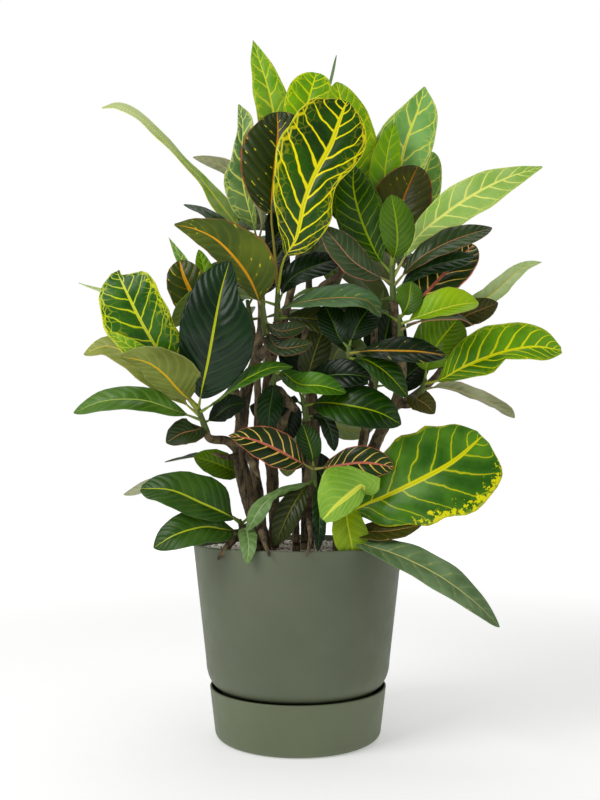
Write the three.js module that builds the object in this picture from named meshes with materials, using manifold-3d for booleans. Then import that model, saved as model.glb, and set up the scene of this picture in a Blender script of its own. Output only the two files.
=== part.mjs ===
// Potted croton: a bushy house plant on several woody stems, in a tapered pot that stands in a saucer.
// Lengths are in millimetres and +Z is up. The front is seen from the -Y side, with +X to the right.
// The origin is the centre of the saucer's underside.
import * as THREE from "three";
import { mergeVertices } from "three/addons/utils/BufferGeometryUtils.js";
import Module from "manifold-3d";

const wasm = await Module();
wasm.setup();

// Gap between pieces that touch
const GAP = 0.3;

// Round pieces: sides of the pot and saucer
const POT_SIDES = 32;

// Saucer
const SAUCER_HEIGHT = 60.5;
const SAUCER_RIM_RADIUS = 105;
const SAUCER_BASE_RADIUS = 99;
const SAUCER_CORNER = 8;
const SAUCER_WALL = 2.8;
const SAUCER_FLOOR = 4;

// Pot
const POT_RIM_HEIGHT = 229;
const POT_RIM_RADIUS = 124.5;
const POT_SHOULDER_HEIGHT = 90;
const POT_SHOULDER_RADIUS = 109.3;
const POT_NECK_HEIGHT = 59;
const POT_NECK_RADIUS = 91;
const POT_BASE_HEIGHT = 9;
const POT_BASE_RADIUS = 88;
const POT_WALL = 3.5;
const POT_FOOT = { radius: 62, length: 34, width: 14, count: 4 };
const DRAIN = { radius: 6, ring: 40, count: 4, sides: 8 };

// Soil and the layer of gravel on it
const SOIL_TOP = 209;
const GRAVEL_TOP = 222;
const GRAVEL_BUMP = 1.6;

// Stems
const STEM_ROOT = 62;
const STEM_SIDES = 7;
const HOLE_SIDES = 7;
const HOLE_SPARE = 3;
const BRANCH_SIDES = 6;
const SHOOT_SIDES = 5;
const SHOOT_RADIUS = 4.2;
const SHOOT_TIP_RADIUS = 2.4;
const SHOOT_LEAD = 12;
const RING_STEP = 40;

// Leaves
const BLADE_THICKNESS = 0.8;
const RIB_THICKNESS = 1.7;
const STALK_THICKNESS = 2.6;
const STALK_HALF_WIDTH = 1.6;
const TIP_HALF_WIDTH = 0.9;
const STALK_SHARE = 0.14;
const CLEARANCE = 0.35;
const OWN_BLADE_START = 0.3;

// The front view that the hand-chosen places are read in: across and up are millimetres in the
// upright plane through the pot's axis, as seen from this eye, and forward is nearness to the eye.
const EYE_DISTANCE = 1044;
const EYE_HEIGHT = 314;

function place([across, up, forward]) {
  const share = (EYE_DISTANCE - forward) / EYE_DISTANCE;
  return new THREE.Vector3(across * share, -forward, EYE_HEIGHT + (up - EYE_HEIGHT) * share);
}

// Repeatable draw between 0 and 1
function draw(key) {
  const value = Math.sin(key * 12.9898) * 43758.5453;
  return value - Math.floor(value);
}

// Solids
function solidOf(geometry) {
  const bare = geometry.index ? geometry.clone() : geometry;
  bare.deleteAttribute("normal");
  bare.deleteAttribute("uv");
  const merged = mergeVertices(bare, 1e-4);
  return new wasm.Manifold(
    new wasm.Mesh({
      numProp: 3,
      vertProperties: new Float32Array(merged.attributes.position.array),
      triVerts: new Uint32Array(merged.index.array),
    }),
  );
}

function geometryOf(solid) {
  const { vertProperties, triVerts } = solid.getMesh();
  const geometry = new THREE.BufferGeometry();
  geometry.setAttribute("position", new THREE.BufferAttribute(new Float32Array(vertProperties), 3));
  geometry.setIndex(new THREE.BufferAttribute(new Uint32Array(triVerts), 1));
  geometry.computeVertexNormals();
  return geometry;
}

function turned(profile, sides) {
  const points = profile.map(([radius, height]) => new THREE.Vector2(radius, height));
  const geometry = new THREE.LatheGeometry(points, sides);
  geometry.rotateX(Math.PI / 2);
  return solidOf(geometry);
}

function upright(radius, low, high, x, y, sides) {
  const geometry = new THREE.CylinderGeometry(radius, radius, high - low, sides);
  geometry.rotateX(Math.PI / 2);
  geometry.translate(x, y, (low + high) / 2);
  return solidOf(geometry);
}

function arc(centre, radii, from, to, steps) {
  return Array.from({ length: steps + 1 }, (_, i) => {
    const angle = THREE.MathUtils.degToRad(from + ((to - from) * i) / steps);
    return [centre[0] + radii[0] * Math.cos(angle), centre[1] + radii[1] * Math.sin(angle)];
  });
}

// Saucer
function makeSaucer() {
  const inset = SAUCER_WALL / 2;
  const profile = [
    [0, 0],
    ...arc([SAUCER_BASE_RADIUS - SAUCER_CORNER, SAUCER_CORNER], [SAUCER_CORNER, SAUCER_CORNER], -90, 0, 3),
    ...arc([SAUCER_RIM_RADIUS - inset, SAUCER_HEIGHT - inset], [inset, inset], 0, 180, 2),
    [SAUCER_BASE_RADIUS - SAUCER_WALL, SAUCER_FLOOR + SAUCER_CORNER],
    [SAUCER_BASE_RADIUS - SAUCER_WALL - SAUCER_CORNER * 0.7, SAUCER_FLOOR],
    [0, SAUCER_FLOOR],
  ];
  return turned(profile, POT_SIDES);
}

// The pot's wall from its rim down to its base, moved in by a distance
function potWall(inset, steps = 4) {
  const reach = [POT_SHOULDER_RADIUS - POT_NECK_RADIUS, POT_SHOULDER_HEIGHT - POT_NECK_HEIGHT];
  const shoulder = arc([POT_NECK_RADIUS - inset, POT_SHOULDER_HEIGHT + inset * 0.5], reach, 0, -90, steps);
  return [...shoulder, [POT_BASE_RADIUS - inset, POT_BASE_HEIGHT + inset]];
}

function makePot() {
  const lip = POT_WALL / 2;
  const profile = [
    [0, POT_BASE_HEIGHT],
    ...potWall(0).reverse(),
    ...arc([POT_RIM_RADIUS - lip, POT_RIM_HEIGHT - lip], [lip, lip], 0, 180, 2),
    ...potWall(POT_WALL),
    [0, POT_BASE_HEIGHT + POT_WALL],
  ];
  let pot = turned(profile, POT_SIDES);
  const footLow = SAUCER_FLOOR + GAP;
  const footHigh = POT_BASE_HEIGHT + POT_WALL / 2;
  for (let i = 0; i < POT_FOOT.count; i++) {
    const foot = new THREE.BoxGeometry(POT_FOOT.width, POT_FOOT.length, footHigh - footLow);
    foot.translate(POT_FOOT.radius, 0, (footHigh + footLow) / 2);
    foot.rotateZ((2 * Math.PI * (i + 0.5)) / POT_FOOT.count);
    pot = pot.add(solidOf(foot));
  }
  for (let i = 0; i < DRAIN.count; i++) {
    const angle = (2 * Math.PI * i) / DRAIN.count;
    const [x, y] = [DRAIN.ring * Math.cos(angle), DRAIN.ring * Math.sin(angle)];
    pot = pot.subtract(upright(DRAIN.radius, 0, POT_BASE_HEIGHT * 2, x, y, DRAIN.sides));
  }
  return pot;
}

function potInnerRadius(height) {
  const share = (height - POT_SHOULDER_HEIGHT) / (POT_RIM_HEIGHT - POT_SHOULDER_HEIGHT);
  return THREE.MathUtils.lerp(POT_SHOULDER_RADIUS, POT_RIM_RADIUS, share) - POT_WALL;
}

function makeSoil() {
  const inset = POT_WALL + GAP + 0.3;
  const profile = [
    [0, POT_BASE_HEIGHT + POT_WALL + GAP],
    ...potWall(inset, 2).reverse(),
    [potInnerRadius(SOIL_TOP) - GAP * 2, SOIL_TOP],
    [0, SOIL_TOP],
  ];
  return turned(profile, POT_SIDES);
}

function makeGravel() {
  const low = SOIL_TOP + GAP;
  const edge = potInnerRadius(low) - GAP * 2;
  const rings = [edge, edge * 0.7, edge * 0.35];
  const profile = [[0, low], [edge, low], ...rings.map((radius) => [radius, GRAVEL_TOP]), [0, GRAVEL_TOP]];
  const points = profile.map(([radius, height]) => new THREE.Vector2(radius, height));
  const geometry = new THREE.LatheGeometry(points, POT_SIDES);
  geometry.rotateX(Math.PI / 2);
  const spots = geometry.attributes.position;
  for (let i = 0; i < spots.count; i++) {
    if (spots.getZ(i) > GRAVEL_TOP - 1) {
      const bump = Math.sin(spots.getX(i) * 0.37) * Math.cos(spots.getY(i) * 0.41);
      spots.setZ(i, GRAVEL_TOP + GRAVEL_BUMP * bump);
    }
  }
  return solidOf(geometry);
}

// A round tapered limb along points. A root longer than zero adds a straight stretch below its start.
function limb(points, startRadius, endRadius, sides, root = 0, step = RING_STEP) {
  const curve = new THREE.CatmullRomCurve3(points, false, "catmullrom", 0.5);
  const rings = Math.max(2, Math.round(curve.getLength() / step));
  const frames = curve.computeFrenetFrames(rings);
  const extra = root > 0 ? 1 : 0;
  const geometry = new THREE.CylinderGeometry(1, 1, 1, sides, rings + extra);
  const spots = geometry.attributes.position;
  const spot = new THREE.Vector3();
  for (let i = 0; i < spots.count; i++) {
    spot.fromBufferAttribute(spots, i);
    const ring = Math.round((spot.y + 0.5) * (rings + extra)) - extra;
    const along = Math.max(ring, 0);
    const radius = THREE.MathUtils.lerp(startRadius, endRadius, along / rings);
    const centre = curve.getPointAt(along / rings);
    centre.addScaledVector(frames.normals[along], spot.x * radius);
    centre.addScaledVector(frames.binormals[along], -spot.z * radius);
    if (ring < 0) centre.z -= root;
    spots.setXYZ(i, centre.x, centre.y, centre.z);
  }
  return solidOf(geometry);
}

// Leafy shoots. A shoot runs from its foot, on a woody branch, to its top. Every leaf has the height
// on its shoot that it grows from, the places of its midrib out to its tip, its width, its form, the
// way that its upper face looks (right, up, to the viewer), its fold, its turn and its edge wave.
// A spare leaf is left out where it has no clear place.
const FORMS = {
  broad: [0.62, 0.55],
  oval: [0.78, 0.72],
  lance: [0.9, 1],
  long: [0.6, 0.85],
  spoon: [1.1, 0.45],
};
const PLAIN_LEAF = { at: 0.8, form: "oval", face: [0, 0.4, 0.9], fold: 10, turn: 0, wave: 1.5, rows: 4 };

const SHOOTS = [
  {
    name: "leaves_crown_front",
    foot: [-25, 493, 58],
    top: [-24, 535, 62],
    colour: "#1f4a1c",
    fill: 2,
    leaves: [
      {
        name: "great_top",
        at: 0.75,
        rib: [[-18, 565, 74], [-2, 594, 82], [8, 637, 90], [23, 673, 94], [40, 705, 94], [50, 733, 90], [59, 757, 84]],
        outline: [
          [0, 2, 2], [0.07, 14, 15], [0.22, 27, 32], [0.38, 39, 31], [0.5, 49, 25],
          [0.62, 53, 34], [0.77, 50, 35], [0.89, 43, 26], [0.96, 34, 13], [1, 12, 3],
        ],
        stalk: 0.2,
        face: [-0.1, -0.05, 1],
        fold: 5,
        rows: 9,
      },
      { at: 0.5, rib: [[-10, 543, 68], [17, 559, 66], [53, 570, 54]], wide: 36, face: [0.1, 0.5, 0.85] },
      {
        at: 0.3,
        rib: [[2, 516, 80], [50, 522, 96], [84, 518, 98], [100, 499, 92]],
        wide: 48,
        stalk: 0.06,
        face: [0, 0.75, 0.65],
      },
      { at: 0.1, rib: [[2, 498, 70], [32, 493, 76], [62, 477, 74]], wide: 34 },
      {
        at: 0.9,
        rib: [[-28, 579, 60], [-32, 625, 62], [-28, 675, 62], [-24, 717, 58], [-25, 745, 52]],
        wide: 80,
        form: "broad",
        stalk: 0.42,
        face: [-0.15, 0.1, 1],
        rows: 4,
      },
    ],
  },
  {
    name: "leaves_crown_left",
    foot: [-38, 476, 72],
    top: [-43, 519, 78],
    colour: "#5a6a16",
    fill: 2,
    leaves: [
      {
        at: 0.8,
        rib: [[-62, 551, 84], [-93, 588, 87], [-121, 604, 85], [-148, 610, 78]],
        outline: [[0, 2, 2], [0.1, 26, 12], [0.28, 38, 18], [0.5, 31, 20], [0.7, 18, 18], [0.88, 8, 10], [1, 1, 1]],
        stalk: 0.06,
        face: [0.3, 0.45, -0.8],
        rows: 5,
      },
      { at: 0.25, rib: [[-25, 463, 92], [-2, 463, 98], [18, 468, 98]], wide: 24, face: [0, 0.5, 0.85] },
      { at: 0.45, rib: [[-22, 482, 86], [10, 488, 86]], wide: 20 },
    ],
  },
  {
    name: "leaves_crown_right",
    foot: [115, 517, 62],
    top: [112, 562, 68],
    colour: "#4f7a1f",
    fill: 2,
    leaves: [
      {
        at: 0.5,
        rib: [[86, 553, 76], [65, 567, 84], [47, 588, 86], [30, 608, 80]],
        wide: 38,
        face: [0.2, 0.2, 0.95],
      },
      {
        at: 0.75,
        rib: [[95, 573, 58], [77, 613, 58], [67, 651, 54], [67, 680, 46]],
        wide: 56,
        face: [-0.1, 0.1, 1],
        rows: 5,
      },
      { at: 0.95, rib: [[119, 585, 86], [118, 613, 92], [112, 646, 94]], wide: 40, face: [0.1, 0.1, 1] },
      {
        at: 0.85,
        rib: [[120, 591, 52], [122, 625, 54], [132, 654, 54], [144, 680, 50]],
        wide: 68,
        form: "broad",
        face: [0, 0.1, 1],
        rows: 5,
      },
      {
        at: 0.9,
        rib: [[112, 603, 40], [104, 657, 38], [108, 699, 34], [116, 732, 28]],
        wide: 38,
        face: [-0.1, 0.1, 1],
      },
      {
        at: 0.8,
        rib: [[116, 615, 20], [120, 663, 16], [130, 709, 14], [143, 745, 12], [152, 775, 6]],
        outline: [
          [0, 2, 2], [0.2, 16, 14], [0.45, 36, 26], [0.6, 38, 31], [0.75, 28, 31], [0.9, 13, 19], [1, 1, 1],
        ],
        face: [0, 0.15, 1],
        rows: 5,
      },
      { at: 0.7, rib: [[128, 613, -4], [146, 654, -8], [162, 697, -12]], wide: 58, form: "broad" },
      {
        name: "long_right",
        at: 0.6,
        rib: [[142, 593, 62], [177, 623, 66], [211, 646, 68], [251, 666, 64], [293, 679, 54]],
        outline: [
          [0, 2, 2], [0.12, 9, 10], [0.3, 18, 20], [0.5, 20, 23], [0.68, 16, 20], [0.85, 9, 11], [1, 1, 1],
        ],
        face: [-0.3, 0.35, 0.9],
        wave: 2.5,
        rows: 7,
      },
      {
        at: 0.4,
        rib: [[140, 564, 84], [167, 582, 92], [197, 595, 92], [233, 606, 84]],
        wide: 36,
        face: [-0.1, 0.6, 0.8],
      },
      { at: 0.25, rib: [[146, 554, 78], [179, 565, 80], [212, 572, 74]], wide: 28, face: [0, 0.5, 0.85] },
    ],
  },
  {
    name: "leaves_side_right",
    foot: [124, 464, 72],
    top: [122, 502, 78],
    colour: "#1d4030",
    fill: 2,
    leaves: [
      {
        at: 0.9,
        rib: [[138, 512, 76], [162, 536, 74], [186, 561, 68], [211, 586, 58]],
        wide: 54,
        form: "broad",
        face: [-0.3, 0.3, 0.9],
        rows: 5,
      },
      {
        at: 0.7,
        rib: [[149, 500, 92], [173, 508, 100], [197, 514, 102], [217, 516, 98]],
        wide: 46,
        face: [0, 0.6, 0.8],
        fold: 32,
      },
      {
        at: 0.5,
        rib: [[144, 493, 102], [170, 499, 112], [192, 500, 112], [211, 489, 106]],
        wide: 34,
        face: [0, 1, 0.45],
        fold: 4,
      },
      { at: 0.9, rib: [[132, 514, 88], [136, 542, 86]], wide: 30, rows: 4 },
    ],
  },
  {
    name: "leaves_centre_right",
    foot: [62, 433, 84],
    top: [61, 465, 90],
    colour: "#173b1b",
    fill: 1,
    leaves: [
      {
        at: 0.7,
        rib: [[86, 458, 108], [113, 458, 116], [146, 457, 118], [178, 453, 110]],
        wide: 40,
        face: [0, 0.65, 0.75],
      },
      {
        at: 0.5,
        rib: [[80, 448, 112], [101, 436, 122], [118, 420, 124], [132, 403, 118]],
        wide: 36,
        face: [0.2, 0.6, 0.75],
      },
      { at: 0.9, rib: [[50, 474, 92], [42, 493, 88], [32, 514, 82]], wide: 34, face: [0, 0.1, 1] },
      { at: 0.9, rib: [[66, 477, 92], [77, 498, 88], [91, 516, 80]], wide: 40, face: [0, 0.1, 1] },
    ],
  },
  {
    name: "leaves_right",
    foot: [146, 404, 30],
    top: [153, 425, 36],
    colour: "#6f9c1c",
    fill: 1,
    leaves: [
      {
        at: 0.9,
        rib: [[156, 444, 40], [168, 467, 42], [192, 497, 38]],
        wide: 60,
        form: "broad",
        face: [-0.2, 0.2, 0.95],
        rows: 5,
      },
      {
        name: "great_right",
        at: 0.7,
        rib: [[172, 424, 50], [194, 436, 60], [220, 447, 70], [250, 457, 74], [284, 463, 72], [316, 459, 62]],
        outline: [
          [0, 2, 2], [0.12, 16, 10], [0.3, 32, 18], [0.45, 35, 17], [0.52, 35, 9],
          [0.62, 34, 13], [0.8, 27, 18], [0.92, 17, 12], [1, 4, 4],
        ],
        stalk: 0.12,
        face: [-0.1, 0.35, 0.95],
        fold: 8,
        rows: 9,
      },
      {
        at: 0.4,
        rib: [[178, 415, 48], [212, 404, 62], [242, 391, 70], [260, 378, 68]],
        wide: 38,
        face: [0.1, 0.93, -0.3],
      },
      { at: 0.15, rib: [[143, 401, 56], [154, 394, 66], [164, 383, 68]], wide: 26, face: [-0.3, 0.3, 0.9] },
    ],
  },
  {
    name: "leaves_left",
    foot: [-110, 362, 58],
    top: [-121, 394, 62],
    colour: "#1b4a26",
    fill: 2,
    leaves: [
      {
        at: 0.7,
        rib: [[-91, 402, 84], [-74, 416, 96], [-55, 428, 104], [-31, 438, 106], [-6, 439, 104]],
        wide: 36,
        face: [0, 0.8, 0.5],
        rows: 6,
      },
      {
        name: "great_left",
        at: 0.85,
        rib: [[-114, 417, 88], [-108, 445, 98], [-101, 483, 108], [-92, 529, 108], [-82, 566, 98]],
        outline: [
          [0, 2, 2], [0.08, 16, 16], [0.2, 27, 33], [0.38, 35, 46], [0.5, 37, 45], [0.62, 36, 38],
          [0.76, 31, 21], [0.9, 21, 11], [0.97, 10, 5], [1, 2, 2],
        ],
        stalk: 0.1,
        face: [-0.1, 0.05, 1],
        fold: 4,
        rows: 9,
      },
      {
        name: "outer_left",
        at: 0.9,
        rib: [[-148, 423, 74], [-168, 459, 86], [-188, 494, 92], [-204, 526, 92], [-217, 554, 84]],
        outline: [
          [0, 2, 2], [0.1, 12, 15], [0.25, 22, 27], [0.4, 31, 31], [0.57, 39, 32], [0.7, 38, 34],
          [0.82, 33, 31], [0.9, 27, 24], [0.94, 22, 6], [1, 7, 3],
        ],
        stalk: 0.13,
        face: [-0.1, 0.1, 1],
        fold: 8,
        wave: 2.5,
        rows: 9,
      },
      {
        at: 0.8,
        rib: [[-150, 425, 92], [-172, 446, 103], [-200, 463, 106], [-228, 481, 104]],
        wide: 20,
        face: [0, 0.4, 0.9],
        rows: 3,
        spare: true,
      },
      {
        at: 0.95,
        rib: [[-143, 411, 88], [-160, 430, 105], [-181, 445, 114], [-213, 452, 114]],
        outline: [[0, 2, 2], [0.12, 24, 12], [0.35, 32, 20], [0.6, 25, 20], [0.85, 12, 10], [1, 2, 2]],
        face: [0.1, 0.85, -0.45],
        rows: 5,
      },
      {
        at: 0.5,
        rib: [[-163, 420, 48], [-194, 448, 44], [-228, 464, 38], [-257, 454, 30]],
        wide: 40,
        face: [0.1, 0.5, 0.85],
      },
      { at: 0.6, rib: [[-178, 459, 30], [-216, 519, 20], [-263, 540, 6]], wide: 12, form: "lance" },
      { at: 0.3, rib: [[-98, 380, 52], [-82, 392, 56], [-62, 396, 54]], wide: 30, rows: 3, spare: true },
      {
        at: 0.4,
        rib: [[-151, 388, 86], [-187, 399, 96], [-232, 398, 96], [-269, 384, 88]],
        wide: 38,
        face: [0, 0.6, 0.75],
        rows: 6,
      },
      { at: 0.2, rib: [[-124, 363, 82], [-140, 359, 87], [-158, 348, 88]], wide: 33 },
    ],
  },
  {
    name: "leaves_low_left",
    foot: [-65, 234, 60],
    top: [-70, 256, 66],
    colour: "#2c5c22",
    fill: 1,
    leaves: [
      {
        at: 0.8,
        rib: [[-84, 261, 86], [-115, 275, 98], [-152, 291, 102], [-188, 293, 96]],
        outline: [[0, 2, 2], [0.1, 10, 22], [0.3, 20, 33], [0.55, 24, 30], [0.8, 18, 20], [0.93, 12, 12], [1, 4, 4]],
        face: [0, 0.6, 0.8],
        rows: 6,
      },
      { at: 0.9, rib: [[-112, 279, 66], [-160, 298, 60], [-209, 286, 50]], wide: 34, face: [0, 0.8, 0.6] },
      {
        at: 0.4,
        rib: [[-89, 244, 92], [-112, 247, 104], [-146, 238, 112], [-173, 222, 110]],
        wide: 46,
        face: [0, 0.55, 0.85],
        rows: 5,
      },
      { at: 0.5, rib: [[-62, 243, 92], [-59, 225, 116], [-61, 202, 124]], wide: 20, face: [0, 0.5, 0.9] },
    ],
  },
  {
    name: "leaves_centre",
    foot: [11, 374, 52],
    top: [5, 406, 58],
    colour: "#15401a",
    fill: 2,
    leaves: [
      {
        at: 0.6,
        rib: [[32, 396, 84], [65, 392, 102], [98, 384, 108], [124, 370, 104]],
        wide: 52,
        face: [0, 0.45, 0.9],
        rows: 5,
      },
      { at: 0.95, rib: [[29, 426, 80], [60, 430, 97], [88, 426, 102]], wide: 36, face: [0, 0.3, 0.95] },
      { at: 0.9, rib: [[10, 421, 62], [19, 453, 66], [32, 489, 64]], wide: 36, face: [0.3, 0.1, 0.9] },
      { at: 0.2, rib: [[30, 378, 66], [40, 358, 68], [44, 338, 66]], wide: 18, face: [0, 0.2, 0.95] },
      {
        at: 0.6,
        rib: [[-6, 398, 50], [-12, 376, 46], [-14, 348, 44]],
        wide: 32,
        face: [0.2, 0.2, 0.9],
        rows: 3,
        spare: true,
      },
    ],
  },
  {
    name: "leaves_centre_low",
    foot: [19, 298, 60],
    top: [19, 321, 66],
    colour: "#2a3f16",
    fill: 0,
    leaves: [
      {
        at: 0.8,
        rib: [[0, 326, 84], [-28, 341, 98], [-55, 352, 104], [-83, 357, 102]],
        wide: 42,
        form: "lance",
        face: [0, 0.3, 0.95],
      },
      {
        at: 0.8,
        rib: [[44, 320, 82], [74, 324, 96], [98, 322, 100], [116, 318, 98]],
        wide: 38,
        face: [0, 0.3, 0.95],
      },
      { at: 0.9, rib: [[16, 339, 72], [6, 370, 72]], wide: 28, face: [0, 0.1, 1], rows: 4 },
      {
        at: 0.2,
        rib: [[2, 296, 80], [-22, 289, 92], [-43, 272, 100], [-61, 242, 102]],
        outline: [[0, 2, 2], [0.2, 4, 4], [0.5, 5, 5], [0.65, 10, 9], [0.8, 10, 9], [0.92, 5, 5], [1, 1, 1]],
        face: [0.3, 0.7, 0.6],
        rows: 4,
      },
      { at: 0.3, rib: [[6, 291, 78], [-10, 265, 88], [-28, 224, 90]], wide: 30, face: [0, 0.4, 0.9] },
      { at: 0.3, rib: [[25, 279, 84], [26, 246, 94], [24, 218, 98]], wide: 16, face: [0, 0.3, 0.95] },
    ],
  },
  {
    name: "leaves_low_right",
    foot: [47, 234, 52],
    top: [52, 262, 60],
    colour: "#3d7a1f",
    fill: 1,
    leaves: [
      {
        name: "great_low_right",
        at: 0.8,
        rib: [[77, 272, 74], [106, 284, 86], [152, 306, 96], [188, 327, 98], [221, 356, 92]],
        outline: [
          [0, 2, 2], [0.08, 20, 16], [0.25, 38, 36], [0.4, 48, 46], [0.53, 52, 52], [0.65, 51, 57],
          [0.76, 47, 57], [0.86, 39, 50], [0.94, 28, 37], [1, 8, 11],
        ],
        stalk: 0.1,
        face: [-0.1, 0.25, 0.95],
        fold: 6,
        wave: 2.5,
        rows: 9,
      },
      { at: 0.3, rib: [[77, 241, 84], [110, 242, 98], [148, 249, 104]], wide: 38, face: [0, 0.8, 0.55] },
      {
        at: 0.7,
        rib: [[46, 276, 34], [36, 296, 2], [22, 318, -24], [6, 338, -40]],
        wide: 46,
        rows: 3,
        spare: true,
      },
      {
        name: "hanging_right",
        at: 0.2,
        rib: [[77, 227, 98], [120, 213, 120], [170, 188, 134], [212, 157, 136], [242, 127, 128]],
        wide: 42,
        face: [0.2, 0.7, 0.7],
        rows: 7,
      },
      {
        at: 0.95,
        rib: [[72, 276, 88], [78, 296, 106], [62, 284, 116], [44, 270, 118], [30, 256, 116]],
        outline: [[0, 4, 10], [0.2, 9, 24], [0.45, 14, 38], [0.7, 14, 30], [0.88, 11, 15], [1, 5, 4]],
        stalk: 0.42,
        face: [0, 0, 1],
        fold: 2,
        rows: 5,
      },
      {
        at: 0.6,
        rib: [[56, 266, 88], [60, 248, 100], [64, 228, 106], [66, 214, 106]],
        wide: 42,
        form: "spoon",
        face: [0, 0.3, 0.95],
      },
    ],
  },
  {
    name: "leaves_top",
    foot: [6, 606, -24],
    top: [7, 639, -26],
    colour: "#7dac1e",
    fill: 2,
    leaves: [
      {
        name: "highest",
        at: 0.7,
        rib: [[-8, 678, -14], [-25, 726, -4], [-36, 774, 0], [-46, 805, -2], [-54, 831, -8]],
        wide: 42,
        form: "lance",
        face: [0, 0.1, 1],
        rows: 6,
      },
      { at: 0.5, rib: [[-8, 687, -34], [-23, 741, -34], [-32, 787, -38]], wide: 24, form: "lance" },
      {
        at: 0.9,
        rib: [[6, 699, -6], [11, 750, 4], [22, 792, 0]],
        wide: 56,
        form: "spoon",
        face: [-0.1, 0.1, 1],
        rows: 5,
      },
      { at: 0.8, rib: [[24, 711, -36], [36, 774, -36], [46, 813, -38]], wide: 30, face: [1, 0.1, 0.15] },
    ],
  },
  {
    name: "leaves_upper_left",
    foot: [-47, 555, -24],
    top: [-49, 591, -26],
    colour: "#6d8a2a",
    fill: 1,
    leaves: [
      {
        name: "long_left",
        at: 0.7,
        rib: [
          [-84, 622, -8], [-114, 661, 0], [-140, 689, 6], [-164, 714, 10], [-189, 738, 10],
          [-215, 752, 6], [-235, 750, 0],
        ],
        outline: [
          [0, 2, 2], [0.08, 13, 12], [0.17, 15, 13], [0.28, 8, 8], [0.5, 7, 7], [0.75, 7, 8], [0.9, 7, 7], [1, 1, 1],
        ],
        face: [0.3, 0.5, 0.8],
        wave: 1,
        rows: 6,
      },
      {
        at: 0.9,
        rib: [[-54, 613, 4], [-65, 657, 14], [-67, 699, 18], [-66, 729, 16], [-71, 754, 12]],
        outline: [[0, 2, 2], [0.2, 20, 9], [0.42, 23, 9], [0.58, 13, 9], [0.72, 8, 13], [0.86, 6, 13], [1, 1, 1]],
        face: [-0.4, 0.1, 0.9],
        rows: 5,
      },
      {
        at: 0.8,
        rib: [[-43, 621, -22], [-60, 654, -26], [-86, 678, -28], [-126, 691, -30]],
        wide: 22,
        face: [0.4, 0.6, -0.6],
      },
      {
        at: 0.5,
        rib: [[-70, 591, 6], [-91, 608, 16], [-112, 624, 18], [-137, 634, 14]],
        wide: 28,
        face: [0.2, 0.7, 0.6],
      },
      { at: 0.6, rib: [[-30, 592, -20], [-16, 612, -22], [-4, 644, -26]], wide: 46, rows: 3, spare: true },
    ],
  },
  {
    name: "leaves_side_left",
    foot: [-101, 459, -24],
    top: [-106, 489, -26],
    colour: "#6a7a1c",
    fill: 1,
    leaves: [
      {
        at: 0.9,
        rib: [[-113, 498, -4], [-126, 524, 8], [-137, 548, 10], [-142, 567, 6]],
        wide: 50,
        form: "broad",
        face: [-0.1, 0.1, 1],
        rows: 5,
      },
      { at: 0.8, rib: [[-109, 531, -20], [-114, 561, -20], [-119, 580, -22]], wide: 24 },
      { at: 0.6, rib: [[-122, 525, -36], [-139, 565, -40], [-155, 594, -42]], wide: 18, form: "lance" },
      { at: 0.9, rib: [[-93, 510, -22], [-76, 540, -26], [-64, 574, -30]], wide: 48, rows: 3, spare: true },
    ],
  },
  {
    name: "leaves_low_back_left",
    foot: [-66, 301, -14],
    top: [-71, 325, -18],
    colour: "#76a81e",
    fill: 0,
    leaves: [
      { at: 0.8, rib: [[-112, 332, -4], [-160, 325, -2]], wide: 30, face: [0, 1, 0.2] },
      { at: 0.5, rib: [[-79, 315, 2], [-100, 324, 8], [-125, 332, 8]], wide: 34, face: [0, 0.3, 0.95] },
    ],
  },
  {
    name: "leaves_upper_middle",
    foot: [53, 560, 4],
    top: [65, 596, 6],
    colour: "#6f9c22",
    fill: 3,
    leaves: [
      {
        name: "tall_middle",
        at: 0.9,
        rib: [[66, 645, 16], [65, 699, 22], [55, 745, 20], [46, 781, 12]],
        wide: 60,
        face: [0, 0.1, 1],
        rows: 6,
      },
      { at: 0.9, rib: [[57, 620, -2], [46, 650, -6], [38, 690, -12]], wide: 44, rows: 3, spare: true },
    ],
  },
  {
    name: "leaves_back_right",
    foot: [178, 459, -34],
    top: [182, 490, -36],
    colour: "#5b4a22",
    fill: 1,
    leaves: [
      {
        at: 0.8,
        rib: [[206, 510, -30], [232, 526, -26], [252, 544, -26], [271, 559, -26], [292, 565, -30]],
        wide: 24,
        form: "long",
        face: [0.3, 0.5, -0.8],
      },
      { at: 0.6, rib: [[198, 498, -16], [218, 507, -12], [240, 516, -12]], wide: 32, face: [0, 0.2, 0.95] },
    ],
  },
  {
    name: "leaves_middle_left",
    foot: [-31, 417, 48],
    top: [-25, 435, 54],
    colour: "#3f7c24",
    fill: 0,
    leaves: [
      {
        at: 0.8,
        rib: [[-17, 432, 68], [2, 418, 84], [29, 416, 92], [58, 408, 90]],
        wide: 30,
        face: [0, 0.6, 0.8],
        fold: 28,
      },
      { at: 0.4, rib: [[-31, 405, 66], [-34, 385, 72], [-36, 361, 74]], wide: 30, face: [0, 0.2, 0.95] },
    ],
  },
  { name: "leaves_rear_left", foot: [-79, 403, -80], top: [-87, 435, -90], colour: "#2f5f22", fill: 3, leaves: [] },
  {
    name: "leaves_rear_right",
    foot: [88, 394, -80],
    top: [96, 430, -92],
    colour: "#3c6a20",
    fill: 2,
    leaves: [
      { at: 0.9, rib: [[100, 455, -84], [106, 480, -80], [112, 508, -76]], wide: 56, rows: 3, spare: true },
      { at: 0.6, rib: [[120, 420, -84], [140, 436, -82], [158, 448, -80]], wide: 44, rows: 3, spare: true },
      { at: 0.5, rib: [[70, 430, -80], [54, 448, -78], [40, 472, -78]], wide: 50, rows: 3, spare: true },
    ],
  },
  { name: "leaves_rear_top", foot: [14, 553, -75], top: [17, 584, -82], colour: "#5f8f24", fill: 4, leaves: [] },
  {
    name: "leaves_rear_upper_left",
    foot: [-56, 488, -70],
    top: [-61, 519, -80],
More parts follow.
